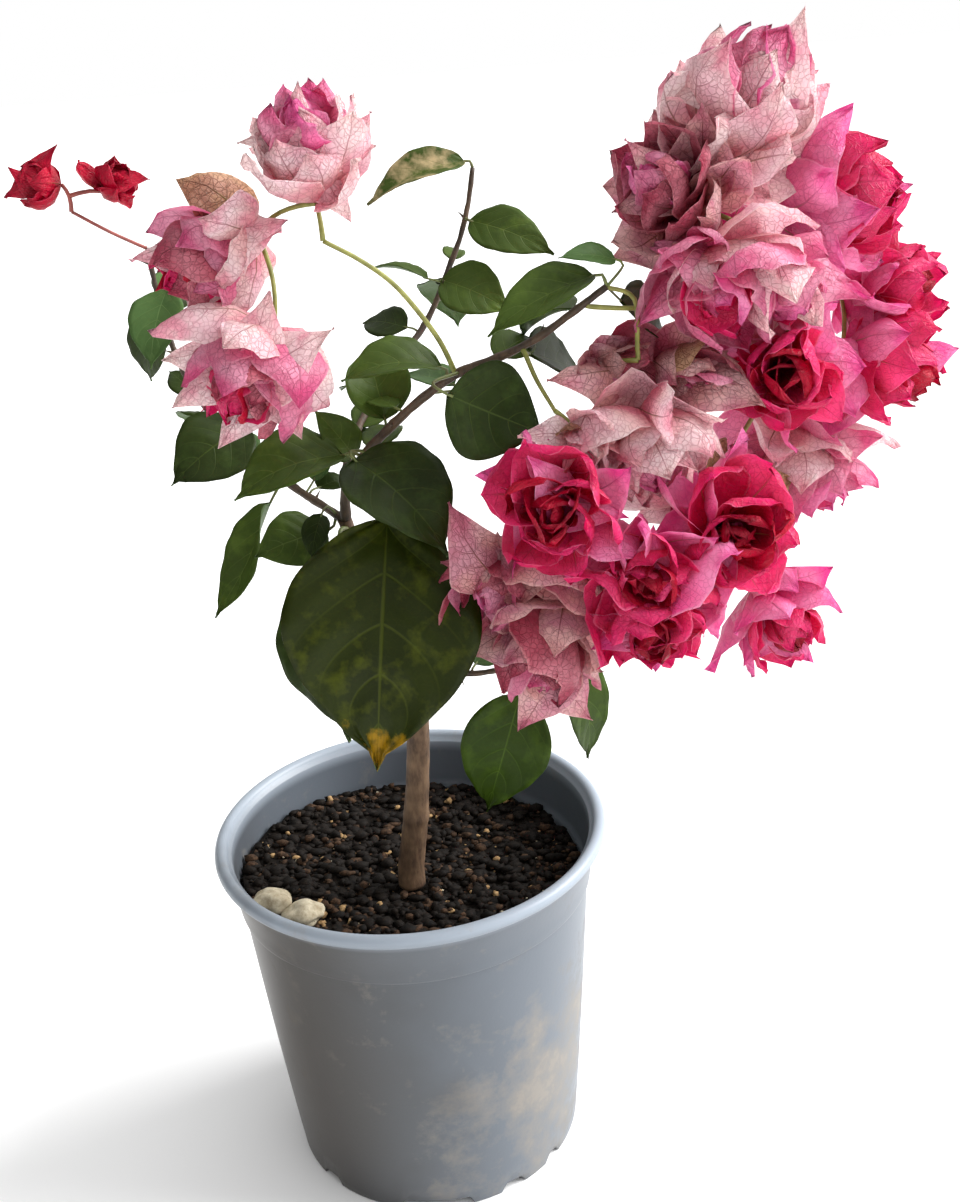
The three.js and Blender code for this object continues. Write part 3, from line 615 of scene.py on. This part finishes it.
def add_leaf(mesh, base, tip, side, upper, width, bow, rng, grid, fold=0.1, belly=0.8, twist=0):
    """A leaf from its stalk's end to its tip: folded at the midrib, quilted between its veins."""
    columns, rows = grid
    along = tip - base
    length = along.length
    phase = rng.uniform(0, 90)
    droop = rng.uniform(0.02, 0.05) * length
    ripple = 0.06 * width

    def middle(t):
        return base + along * t + upper * (bow * math.sin(math.pi * t) - droop * t ** 4)

    def place(across, t, row):
        point, way, out = row
        half = width / 2 * leaf_outline(t, belly)
        wave = noise.noise(Vector((across + phase, 2.6 * t, phase)))
        vein = t - 0.34 * abs(across) ** 1.3 - 0.02
        quilt = -0.012 * width * math.cos(2 * math.pi * 5 * vein) * min(1, 3 * abs(across))
        lift = fold * half * abs(across) ** 1.2 + ripple * wave * (0.3 + abs(across)) + quilt
        turn = twist * (t - 0.3)
        over = across * half * math.cos(turn) - lift * math.sin(turn)
        rise = across * half * math.sin(turn) + lift * math.cos(turn)
        return point + way * over + out * rise

    add_blade(mesh, columns, rows, row_frames(middle, side, rows), place)


# ---------------------------------------------------------------- pot and soil

def make_pot():
    """A spun shell: notched foot, plain wall, raised shoulder line, flared collar and rolled lip."""
    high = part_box("pot")[1]
    top = high.z
    rim = high.x
    shoulder = top - 27 * MM
    foot = 65 * MM
    neck = 76 * MM
    wall = 1.8 * MM
    profile = [
        (0, 0), (30 * MM, 0), (foot - 5 * MM, 0), (foot - 1.2 * MM, 0), (foot - 0.3 * MM, 0.3 * MM),
        (foot, 1.2 * MM), (foot + 0.3 * MM, 4.8 * MM),
    ]
    for step in range(1, 9):
        share = step / 9
        swell = 0.35 * MM * math.sin(math.pi * share)
        profile.append((foot + (neck - foot) * share + swell, shoulder * share))
    profile += [
        (neck - 0.2 * MM, shoulder - 2.4 * MM), (neck - 0.05 * MM, shoulder - 0.8 * MM),
        (neck + 0.1 * MM, shoulder - 0.3 * MM), (neck + 0.9 * MM, shoulder - 0.1 * MM),
        (neck + 1.2 * MM, shoulder + 0.2 * MM), (neck + 1.35 * MM, shoulder + 0.9 * MM),
        (neck + 1.8 * MM, shoulder + 4 * MM), (neck + 2.6 * MM, shoulder + 9 * MM),
        (rim - 4.9 * MM, top - 13 * MM), (rim - 3.7 * MM, top - 8 * MM), (rim - 3.2 * MM, top - 6.6 * MM),
        (rim - 3.0 * MM, top - 6.1 * MM), (rim - 2.5 * MM, top - 5.9 * MM),
    ]
    lip = Vector((rim - 2.9 * MM, top - 2.9 * MM))
    for step in range(17):
        angle = math.radians(-72 + 226 * step / 16)
        profile.append((lip.x + 2.9 * MM * math.cos(angle), lip.y + 2.9 * MM * math.sin(angle)))
    profile += [
        (rim - 6.3 * MM, top - 3.4 * MM), (rim - 7.0 * MM, top - 3.7 * MM), (rim - 7.3 * MM, top - 4.3 * MM),
        (rim - 7.6 * MM, top - 8 * MM), (rim - 8.3 * MM, top - 13 * MM), (rim - 9.2 * MM, shoulder + 4 * MM),
        (neck + 1.2 * MM - wall, shoulder + 1.2 * MM), (neck + 0.6 * MM - wall, shoulder + 0.6 * MM),
        (neck - wall, shoulder - 2 * MM), (foot - wall, 6.5 * MM), (foot - wall - 1 * MM, 6 * MM),
        (0, 6 * MM),
    ]
    mesh = new_mesh()
    line = [mesh.verts.new((radius, 0, z)) for radius, z in profile]
    edges = [mesh.edges.new(pair) for pair in zip(line, line[1:])]
    bmesh.ops.spin(mesh, geom=line + edges, cent=(0, 0, 0), axis=(0, 0, 1), angle=2 * math.pi, steps=160,
                   use_merge=True)
    bmesh.ops.remove_doubles(mesh, verts=mesh.verts, dist=0.02 * MM)
    bmesh.ops.recalc_face_normals(mesh, faces=mesh.faces)
    notches = [(-92, 31), (-60, 9), (-38, 9), (-138, 9), (30, 31), (150, 31)]     # bearing, width in mm
    for vertex in mesh.verts:
        radius = math.hypot(vertex.co.x, vertex.co.y)
        bearing = math.degrees(math.atan2(vertex.co.y, vertex.co.x))
        in_foot = radius > foot - 4 * MM and vertex.co.z < 1.5 * MM
        for centre, width in notches:
            off = abs((bearing - centre + 180) % 360 - 180)
            if in_foot and off * math.pi / 180 * foot < width / 2 * MM:
                vertex.co.z = 4.6 * MM - (foot - radius) * 0.3
    return finish_piece("pot_shell", mesh, [PLASTIC], "pot_plastic", ["pot"])


def from_stem(x, y):
    """How far a spot on the soil lies from the middle of the stem."""
    return math.hypot(x + 1 * MM, y + 12 * MM)


def soil_height(x, y):
    """The soil's surface: level at the stem, heaped up to the left, lumpy all over."""
    lump = noise.fractal(Vector((x, y, 0.3)) / (10 * MM), 0.8, 2.0, 4)
    away = min(1, max(0, (from_stem(x, y) - 7 * MM) / (15 * MM)))
    heap = max(0, -x - 12 * MM) * 0.08
    return SOIL_LEVEL + away * (2.4 * MM * lump - 0.045 * x + heap) + (1 - away) * 0.4 * MM


def make_soil(rng):
    """A lumpy bed of earth, with crumbs, bark, tan grit and white perlite lying in it."""
    radius = 74.6 * MM
    rings = 30
    mesh = new_mesh()
    line = [mesh.verts.new((radius * k / rings, 0, 0)) for k in range(rings + 1)]
    edges = [mesh.edges.new(pair) for pair in zip(line, line[1:])]
    bmesh.ops.spin(mesh, geom=line + edges, cent=(0, 0, 0), axis=(0, 0, 1), angle=2 * math.pi, steps=120,
                   use_merge=True)
    bmesh.ops.remove_doubles(mesh, verts=mesh.verts, dist=0.02 * MM)
    for vertex in mesh.verts:
        vertex.co.z = soil_height(vertex.co.x, vertex.co.y)
    bmesh.ops.recalc_face_normals(mesh, faces=mesh.faces)
    rim = [edge for edge in mesh.edges if edge.is_boundary]
    skirt = bmesh.ops.extrude_edge_only(mesh, edges=rim)["geom"]
    for vertex in [g for g in skirt if isinstance(g, bmesh.types.BMVert)]:
        vertex.co.z -= 14 * MM
    bmesh.ops.recalc_face_normals(mesh, faces=mesh.faces)
    finish_piece("soil_bed", mesh, [EARTH], "potting_soil", ["soil"])
    grains = {
        "soil_crumbs": (3600, 0.5, 3.3, 1, EARTH, "potting_soil"),
        "soil_bark_bits": (1100, 0.5, 2.8, 1, FIBRE, "potting_soil"),
        "soil_grit": (190, 0.4, 2.3, 2, GRIT, "pale_stone"),
        "soil_perlite": (90, 0.4, 1.1, 1, STONE, "pale_stone"),
    }
    for name, (count, least, most, detail, material, slot) in grains.items():
        mesh = new_mesh()
        for _ in range(count):
            out = (radius - 2 * MM) * math.sqrt(rng.random())
            turn = rng.uniform(0, 2 * math.pi)
            x, y = out * math.cos(turn), out * math.sin(turn)
            size = (least + (most - least) * rng.random() ** 2.2) * MM
            if from_stem(x, y) < 5 * MM + size:
                continue
            spread = (size * rng.uniform(0.6, 1.5), size * rng.uniform(0.6, 1.1),
                      size * rng.uniform(0.45, 0.9))
            rise = rng.uniform(0, 0.6) * size
            add_grain(mesh, Vector((x, y, soil_height(x, y) + rise)), spread, rng, detail)
        finish_piece(name, mesh, [material], slot)


def add_grain(mesh, place, size, rng, detail, uneven=0.6):
    """One uneven grain or stone."""
    spin = Matrix.Rotation(rng.uniform(0, 6.3), 4, Vector((rng.random(), rng.random(), rng.random() + 0.1)))
    shape = bmesh.ops.create_icosphere(mesh, subdivisions=detail, radius=1)["verts"]
    phase = rng.uniform(0, 90)
    for vertex in shape:
        swell = 1 + uneven * noise.noise(vertex.co * 1.3 + Vector((phase, 0, 0)))
        bumpy = spin @ (vertex.co * swell)
        vertex.co = place + Vector((bumpy.x * size[0], bumpy.y * size[1], bumpy.z * size[2]))


def make_stones(rng):
    """Pale worn stones that lie on the soil at the left of the rim."""
    mesh = new_mesh()
    for node in ("stone_left", "stone_right"):
        low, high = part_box(node)
        add_grain(mesh, (low + high) / 2, tuple((high - low) / 2), rng, 4, 0.3)
    finish_piece("soil_stones", mesh, [STONE], "pale_stone", ["stone_left", "stone_right"])


# ---------------------------------------------------------------- limbs

def limb_lines():
    """Every limb's smooth line and radii, each starting inside the limb that bears it."""
    lines = {}
    for node, bearer in {**BARKED, **BOUGHS, **STALKS, **RED_STALKS}.items():
        origin = Vector((0, 0, 0))
        if bearer:
            ends = far_ends(corner_points(node))
            points = lines[bearer][0]
            origin = min((nearest_on(points, end) for end in ends),
                         key=lambda p: min((p - end).length for end in ends))
        line, radii = limb_line(node, origin)
        if bearer:
            start = nearest_on(lines[bearer][0], line[0])
            if (start - line[0]).length > 0.5 * MM:
                line.insert(0, start)
                radii.insert(0, radii[0])
        step = 1.4 * MM if node in BARKED else 2 * MM
        smooth = smooth_line(line, step)
        last = len(smooth) - 1
        lines[node] = (smooth, [radii[0] + (radii[-1] - radii[0]) * k / last for k in range(last + 1)])
    return lines


def swell_nodes(line, radii, spacing, rng):
    """Radii with a slight swelling at each node of a limb, and the places of those nodes."""
    places = []
    swollen = list(radii)
    run = rng.uniform(0.3, 0.8) * spacing
    for k in range(1, len(line)):
        run += (line[k] - line[k - 1]).length
        if run > spacing:
            run = rng.uniform(-0.15, 0.15) * spacing
            places.append(k)
            for near in range(max(0, k - 2), min(len(line), k + 3)):
                swollen[near] *= 1 + 0.16 / (1 + abs(near - k))
    return swollen, places


def make_trunk(lines, rng):
    """The stem from its flared foot to the crown, in one barked skin with node scars."""
    mesh = new_mesh()
    trunk, trunk_radii = lines["trunk"]
    leader, leader_radii = lines["leader"]
    foot_z = trunk[0].z
    radii = []
    for point, radius in zip(trunk, trunk_radii):
        rise = point.z - foot_z
        scar = 0.5 * MM * math.exp(-((rise - 34 * MM) / (2.2 * MM)) ** 2)
        ring = 0.25 * MM * math.exp(-((rise - 70 * MM) / (1.8 * MM)) ** 2)
        radii.append(radius + scar + ring)
    verts = grow_tube(mesh, trunk, radii, 26)
    swollen, _ = swell_nodes(leader, leader_radii, 17 * MM, rng)
    verts += grow_tube(mesh, leader, swollen, 22)
    add_relief(mesh, verts, 0.32 * MM, 2.4 * MM, 4)
    finish_piece("trunk_bark", mesh, [BARK], "bark", list(BARKED))


def make_boughs(lines, rng):
    """The boughs in their young bark, with a thorn above some of the nodes."""
    mesh = new_mesh()
    thorns = new_mesh()
    for name in BOUGHS:
        line, radii = lines[name]
        swollen, places = swell_nodes(line, radii, 15 * MM, rng)
        verts = grow_tube(mesh, line, swollen, 12)
        add_relief(mesh, verts, 0.16 * MM, 2 * MM, 1.5)
        for k in places[1::2]:
            ahead = (line[k] - line[k - 1]).normalized()
            away = ahead.orthogonal().normalized()
            away.rotate(Matrix.Rotation(rng.uniform(0, 2 * math.pi), 3, ahead))
            aim = (away + 0.5 * ahead).normalized()
            start = line[k] + away * radii[k] * 0.7
            spine = [start, start + aim * 2.5 * MM, start + aim * 5 * MM]
            grow_tube(thorns, spine, [0.7 * MM, 0.35 * MM, 0.05 * MM], 6)
    finish_piece("boughs", mesh, [YOUNG_BARK], "young_bark", list(BOUGHS))
    finish_piece("thorns", thorns, [YOUNG_BARK], "young_bark")


def curved(start, end, sag, steps):
    """A line from start to end that bows by sag on its way."""
    return [start.lerp(end, k / steps) + sag * math.sin(math.pi * k / steps) for k in range(steps + 1)]


def make_stalks(lines, feet, rng):
    """Flower stalks, and the smaller ones that run on from them to the foot of every head."""
    greens = new_mesh()
    reds = new_mesh()
    for name in [*STALKS, *RED_STALKS]:
        line, radii = lines[name]
        grow_tube(reds if name in RED_STALKS else greens, line, radii, 8)
    for group, roots in STALK_ROOTS.items():
        mesh = reds if group == "far_left" else greens
        grown = [lines[root][0][-1] for root in roots]
        waiting = {name: foot for name, foot in feet.items() if HEADS[name][3] == group}
        while waiting:
            name = min(waiting, key=lambda n: (nearest_on(grown, waiting[n]) - waiting[n]).length)
            foot = waiting.pop(name)
            start = nearest_on(grown, foot)
            sway = Vector((rng.uniform(-1, 1), rng.uniform(-1, 1), rng.uniform(0, 1)))
            bow = sway * (foot - start).length * 0.1
            line = smooth_line(curved(start, foot, bow, 4), 3 * MM)
            thick = 0.95 * MM
            grow_tube(mesh, line, [thick - 0.25 * MM * k / len(line) for k in range(len(line))], 7)
            grown += line
    finish_piece("flower_stalks", greens, [GREEN_STALK], "green_stalk", list(STALKS))
    finish_piece("red_flower_stalks", reds, [RED_STALK], "red_stalk", list(RED_STALKS))


# ---------------------------------------------------------------- leaves

def blade_frame(node, wood):
    """Base, tip, side, upper face, width and bow of the leaf that a thin CAD blade stands for."""
    points = corner_points(node)
    ends = far_ends(points)
    base, tip = sorted(ends, key=lambda end: (nearest_on(wood, end) - end).length)
    along = (tip - base).normalized()
    one = along.orthogonal().normalized()
    two = along.cross(one)
    offsets = [(one.dot(p - base), two.dot(p - base)) for p in points]
    x0 = sum(x for x, y in offsets) / len(offsets)
    y0 = sum(y for x, y in offsets) / len(offsets)
    xx = sum((x - x0) ** 2 for x, y in offsets)
    yy = sum((y - y0) ** 2 for x, y in offsets)
    xy = sum((x - x0) * (y - y0) for x, y in offsets)
    turn = 0.5 * math.atan2(2 * xy, xx - yy)
    side = one * math.cos(turn) + two * math.sin(turn)
    upper = side.cross(along)
    outward = mean(points) - CROWN
    if upper.dot(Vector((outward.x, outward.y, outward.z + 60 * MM))) < 0:
        upper = -upper
        side = -side
    reach = [side.dot(p) for p in points]
    lift = sum(upper.dot(p - base) for p in points) / len(points)
    return base, tip, side, upper, max(reach) - min(reach), lift * 1.3


def make_leaves(lines, rng):
    """All leaves: those that stand for a CAD blade, and the small ones along the boughs."""
    wood = [point for name in [*BARKED, *BOUGHS] for point in lines[name][0]]
    stalks = new_mesh()
    for spray, nodes in LEAF_SPRAYS.items():
        mesh = new_mesh()
        for node in nodes:
            base, tip, side, upper, width, bow = blade_frame(node, wood)
            big = (tip - base).length > LARGE_LEAF
            plain_shape = (0, rng.uniform(0.08, 0.2), rng.uniform(0.76, 0.88), 0)
            roll, fold, belly, twist = LEAF_SHAPES.get(node, plain_shape)
            spin = Matrix.Rotation(math.radians(roll), 3, (tip - base).normalized())
            side.rotate(spin)
            upper.rotate(spin)
            grid = LARGE_LEAF_GRID if big else LEAF_GRID
            add_leaf(mesh, base, tip, side, upper, width, bow, rng, grid, fold, belly, twist)
            add_petiole(stalks, nearest_on(wood, base), base, tip, 1 * MM if big else 0.7 * MM)
        if spray in SPROUTS:
            sprout_leaves(mesh, stalks, lines, spray, rng)
            small_leaves(mesh, stalks, wood, spray, rng)
        piece = finish_piece(f"{spray}_leaves", mesh, [LEAVES[spray], UNDERSIDE], "leaf", nodes)
        thick = piece.modifiers.new("thickness", "SOLIDIFY")
        thick.thickness = 0.35 * MM
        thick.material_offset = 1
        thick.material_offset_rim = 0
    finish_piece("leaf_stalks", stalks, [PETIOLE], "green_stalk")


def add_petiole(mesh, start, base, tip, radius):
    """A leaf's stalk, which bends from the wood into the line of its midrib."""
    inward = (base - tip).normalized()
    knee = base + inward * (start - base).length * 0.45
    line = smooth_line([start, knee.lerp(start, 0.2), base, base - inward * 2 * MM], 2 * MM)
    grow_tube(mesh, line, [radius * (1 - 0.35 * k / len(line)) for k in range(len(line))], 7)


SPROUTS = {       # by green: the boughs on which small leaves sprout, and how many
    "mid": [("leader", 3), ("back_bough", 4), ("right_bough", 3)],
    "light": [("left_bough", 4), ("low_right_bough", 2)],
    "dark": [("leader", 3), ("left_bough", 3), ("back_bough", 3)],
}


SMALL_LEAVES = {  # base, tip and width in mm
    "dark": [((62, -50, 372), (84, -8, 352), 24), ((94, -50, 388), (116, -24, 362), 26),
             ((60, -26, 249), (43, -18, 258), 14), ((-19, -25, 311), (-24, -35, 297), 11)],
    "mid": [((77, -56, 388), (60, -34, 376), 20), ((27, 59, 380), (4, 66, 386), 13),
            ((-4, -28, 333), (-16, -34, 354), 15)],
    "light": [((35, -30, 358), (14, 0, 356), 15), ((91, -66, 405), (72, -74, 409), 9)],
}


def small_leaves(mesh, stalks, wood, spray, rng):
    """Small leaves in known places, their upper faces turned out from the crown."""
    for base, tip, width in SMALL_LEAVES[spray]:
        base, tip = Vector(base) * MM, Vector(tip) * MM
        way = (tip - base).normalized()
        outward = tip - CROWN + Vector((0, -40 * MM, 60 * MM))
        side = way.cross(outward).normalized()
        upper = side.cross(way)
        twist = rng.uniform(-0.4, 0.4)
        bow = 1.5 * MM
        add_leaf(mesh, base, tip, side, upper, width * MM, bow, rng, SMALL_LEAF_GRID, 0.3, 0.78, twist)
        add_petiole(stalks, nearest_on(wood, base), base, tip, 0.55 * MM)


def sprout_leaves(mesh, stalks, lines, spray, rng):
    """Small leaves on short stalks, set round a bough by the golden angle and turned to the back."""
    for bough, count in SPROUTS[spray]:
        line, _ = lines[bough]
        for k in range(count):
            at = line[int((0.15 + 0.8 * (k + rng.random() * 0.6) / count) * (len(line) - 1))]
            turn = GOLDEN_ANGLE * k + rng.uniform(0, 1)
            away = Vector((math.cos(turn), 0.75 + 0.5 * rng.random(), 0.35 + 0.4 * math.sin(turn)))
            away.normalize()
            base = at + away * rng.uniform(4, 8) * MM
            length = rng.uniform(13, 26) * MM
            tip = base + (away + Vector((0, 0, rng.uniform(-0.5, 0.2)))).normalized() * length
            way = (tip - base).normalized()
            side = way.cross(Vector((rng.uniform(-0.4, 0.4), -0.5, 1))).normalized()
            upper = side.cross(way)
            add_leaf(mesh, base, tip, side, upper, length * 0.66, 0.08 * length, rng, SMALL_LEAF_GRID)
            add_petiole(stalks, at, base, tip, 0.55 * MM)


# ---------------------------------------------------------------- flower heads

# Layers of bracts from the outside in: how many, how far in degrees from the opening axis their bellies and
# tips lie, how much of the way out to the head's outline each of these is, width by length, bluntness, flare.
LAYERS = {
    "lantern": [(6, 112, 84, 1.04, 1.34, 0.92, 0.05, 0.05), (5, 92, 50, 1.02, 1.16, 0.95, 0.15, 0.04),
                (5, 66, 26, 0.95, 1.05, 1.0, 0.3, 0), (4, 45, 10, 0.8, 1.0, 1.05, 0.4, 0),
                (3, 28, 5, 0.55, 0.9, 1.1, 0.6, 0)],
    "ragged": [(7, 116, 92, 1.02, 1.4, 0.84, 0, 0.12), (6, 92, 62, 1.0, 1.24, 0.88, 0, 0.1),
               (5, 66, 34, 0.95, 1.08, 0.92, 0.1, 0.06), (4, 45, 14, 0.8, 1.0, 0.95, 0.2, 0.03),
               (3, 28, 6, 0.6, 0.9, 1.0, 0.4, 0)],
    "rosette": [(7, 112, 98, 1.04, 1.42, 0.95, 0.1, 0.04), (6, 90, 68, 1.0, 1.18, 1.02, 0.45, 0),
                (5, 66, 42, 0.92, 1.0, 1.12, 0.7, 0), (4, 46, 22, 0.78, 0.9, 1.2, 0.8, 0),
                (3, 28, 8, 0.55, 0.75, 1.3, 0.9, 0)],
    "bud": [(5, 112, 78, 1.1, 1.4, 0.85, 0.4, 0), (4, 85, 45, 1.0, 1.15, 0.9, 0.6, 0),
            (4, 55, 20, 0.85, 1.05, 1.0, 0.7, 0)],
}


def head_solid(node):
    """A head's solid as a tree for rays, its middle and its corners."""
    mesh = bmesh.new()
    mesh.from_mesh(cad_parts[node].data)
    tree = BVHTree.FromBMesh(mesh)
    mesh.free()
    low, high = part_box(node)
    return tree, (low + high) / 2, corner_points(node)


def exit_point(tree, start, direction, share=1.0):
    """The spot a share of the way along the line on which a point inside a solid leaves it."""
    hit = tree.ray_cast(start, direction)[0]
    return start + ((hit if hit else start + direction * 15 * MM) - start) * share


def standing_tips(points, middle):
    """Corners of a head that stand out well past those round them."""
    tips = []
    for point in points:
        reach = (point - middle).length
        way = (point - middle) / reach
        near = [(p - middle).length for p in points
                if p != point and way.dot((p - middle).normalized()) > 0.8]
        if near and reach > 1.14 * sum(near) / len(near):
            tips.append(point)
    return tips


def head_centres(middle, points, axis):
    """The middle of a head, or two or three along a head that is long across its opening axis."""
    one, other = far_ends(points)
    span = other - one
    girth = 2 * sum((p - middle).length for p in points) / len(points)
    across = span - axis * span.dot(axis) * 0.6
    count = max(1, min(3, round(across.length / girth / 0.85)))
    return [middle + span * ((k - (count - 1) / 2) / count * 0.75) for k in range(count)]


def add_outer_bract(mesh, foot, belly, tip, share, blunt, flare, rng):
    """A bract no longer than a real one, its foot drawn along if its tip lies too far out."""
    reach = tip - foot
    if reach.length > LONGEST_BRACT:
        foot = tip - reach.normalized() * LONGEST_BRACT
    middle = (foot + tip) / 2
    if (belly - middle).length < 0.1 * reach.length:
        belly = middle + (belly - middle).normalized() * 0.1 * reach.length
    if (belly - middle).length > 0.3 * reach.length:
        belly = middle + (belly - middle).normalized() * 0.3 * reach.length
    add_bract(mesh, foot, belly, tip, (tip - foot).length * share, blunt, flare, rng)


def fill_head(meshes, tree, centre, axis, form, kinds, rng):
    """Layers of bracts round one opening: each runs from the back over its belly to its tip."""
    front = Vector((0.1, -1, 0.5))
    lead = (front - axis * front.dot(axis)).normalized()
    back = exit_point(tree, centre, -axis) - centre
    turn = rng.uniform(-0.3, 0.3)
    for number, (count, belly_angle, tip_angle, share, reach, width, blunt, flare) in enumerate(LAYERS[form]):
        foot = centre + back * (0.8 - 0.14 * number)
        for k in range(count):
            turn += 2 * math.pi / count * rng.uniform(0.85, 1.15)
            out = lead.copy()
            out.rotate(Matrix.Rotation(turn, 3, axis))
            spin = out.copy()
            spin.rotate(Matrix.Rotation(rng.uniform(-0.35, 0.35), 3, axis))
            low = math.radians(belly_angle + rng.uniform(-8, 8))
            high = math.radians(tip_angle + rng.uniform(-14, 14))
            belly_way = axis * math.cos(low) + out * math.sin(low)
            tip_way = axis * math.cos(high) + spin * math.sin(high)
            belly = exit_point(tree, centre, belly_way, share)
            tip = exit_point(tree, centre, tip_way, reach * rng.uniform(0.92, 1.08))
            chance = rng.random()
            kind = kinds[min(len(kinds) - 1, number + (1 if chance > 0.82 else 0))]
            if chance < 0.03 and kinds[0] in ("pale", "faded") and number < 2:
                kind = "olive"
            add_outer_bract(meshes[kind], foot, belly, tip, width, blunt, flare, rng)
        turn += math.pi / count
    return centre + back * 0.8


def make_heads(rng):
    """Every flower head in layers of bracts, with one more bract to each of its standing tips."""
    meshes = {kind: new_mesh() for kind in BRACT_SLOTS}
    feet = {}
    forward = Vector((0, -0.5, 0.5))
    for node, (way, form, palette, _) in HEADS.items():
        tree, middle, points = head_solid(node)
        axis = Vector(way).normalized()
        kinds = PALETTES[palette]
        centres = head_centres(middle, points, axis)
        starts = [fill_head(meshes, tree, centre, axis, form, kinds, rng) for centre in centres]
        feet[node] = starts[0]
        for tip in standing_tips(points, middle):
            centre = nearest_on(centres, tip)
            out = (tip - centre).normalized()
            lift = (forward - out * out.dot(forward)).normalized()
            foot = centre - out * 6 * MM
            belly = (foot + tip) / 2 + lift * (tip - foot).length * 0.15
            add_outer_bract(meshes[kinds[0]], foot, belly, tip, rng.uniform(0.62, 0.78), 0, 0.05, rng)
    for kind, mesh in meshes.items():
        nodes = [node for node, details in HEADS.items() if PALETTES[details[2]][0] == kind]
        finish_piece(f"{kind}_bracts", mesh, [BRACTS[kind]], BRACT_SLOTS[kind], nodes)
    return feet


# ---------------------------------------------------------------- camera and lights

def make_camera():
    """The camera in front of the plant, looking down on it."""
    camera = bpy.data.objects.new("camera", bpy.data.cameras.new("camera"))
    camera.data.lens = 43.5
    camera.data.sensor_width = 36
    camera.data.clip_start = 0.01
    tilt = Matrix.Rotation(math.radians(90 - LOOKING_DOWN), 4, "X")
    lean = Matrix.Rotation(math.radians(LEANING), 4, "Z")
    camera.matrix_world = Matrix.Translation(CAMERA_PLACE) @ (tilt @ lean)
    bpy.context.scene.collection.objects.link(camera)
    bpy.context.scene.camera = camera


def make_studio():
    """A pale floor in a white room that is brighter to the right, and a soft sun from there."""
    scene = bpy.context.scene
    scene.view_settings.view_transform = "Standard"
    world = bpy.data.worlds.new("white room")
    world.use_nodes = True
    tree = world.node_tree
    way = add(tree, "TexCoord").outputs["Generated"]
    toward = add(tree, "VectorMath", {0: way, 1: WINDOW_WAY}, operation="DOT_PRODUCT").outputs["Value"]
    glow = add(tree, "MapRange", {0: toward, 1: -0.5, 2: 1.0, 3: 0.14, 4: 1.6})
    seen = add(tree, "LightPath").outputs["Is Camera Ray"]
    strength = add(tree, "Mix", {0: seen, 2: glow.outputs[0], 3: 1.0}, data_type="FLOAT").outputs[0]
    tree.nodes["Background"].inputs["Color"].default_value = linear("#ffffff")
    tree.links.new(strength, tree.nodes["Background"].inputs["Strength"])
    scene.world = world
    sun = bpy.data.lights.new("window", "SUN")
    sun.energy = 5.0
    sun.angle = math.radians(40)
    lamp = bpy.data.objects.new("window", sun)
    lamp.matrix_world = Vector(WINDOW_WAY).to_track_quat("Z", "Y").to_matrix().to_4x4()
    scene.collection.objects.link(lamp)
    mesh = bmesh.new()
    bmesh.ops.create_grid(mesh, x_segments=1, y_segments=1, size=8)
    data = bpy.data.meshes.new("floor")
    mesh.to_mesh(data)
    mesh.free()
    paper, _, shader = new_material("pale paper floor", Roughness=0.9)
    shader.inputs["Base Color"].default_value = linear("#fafafa")
    data.materials.append(paper)
    floor = bpy.data.objects.new("floor", data)
    scene.collection.objects.link(floor)


make_camera()
make_studio()
make_pot()
make_soil(Random(11))
make_stones(Random(12))
limbs = limb_lines()
make_trunk(limbs, Random(21))
make_boughs(limbs, Random(22))
make_leaves(limbs, Random(31))
head_starts = make_heads(Random(41))
make_stalks(limbs, head_starts, Random(42))

bpy.context.view_layer.update()
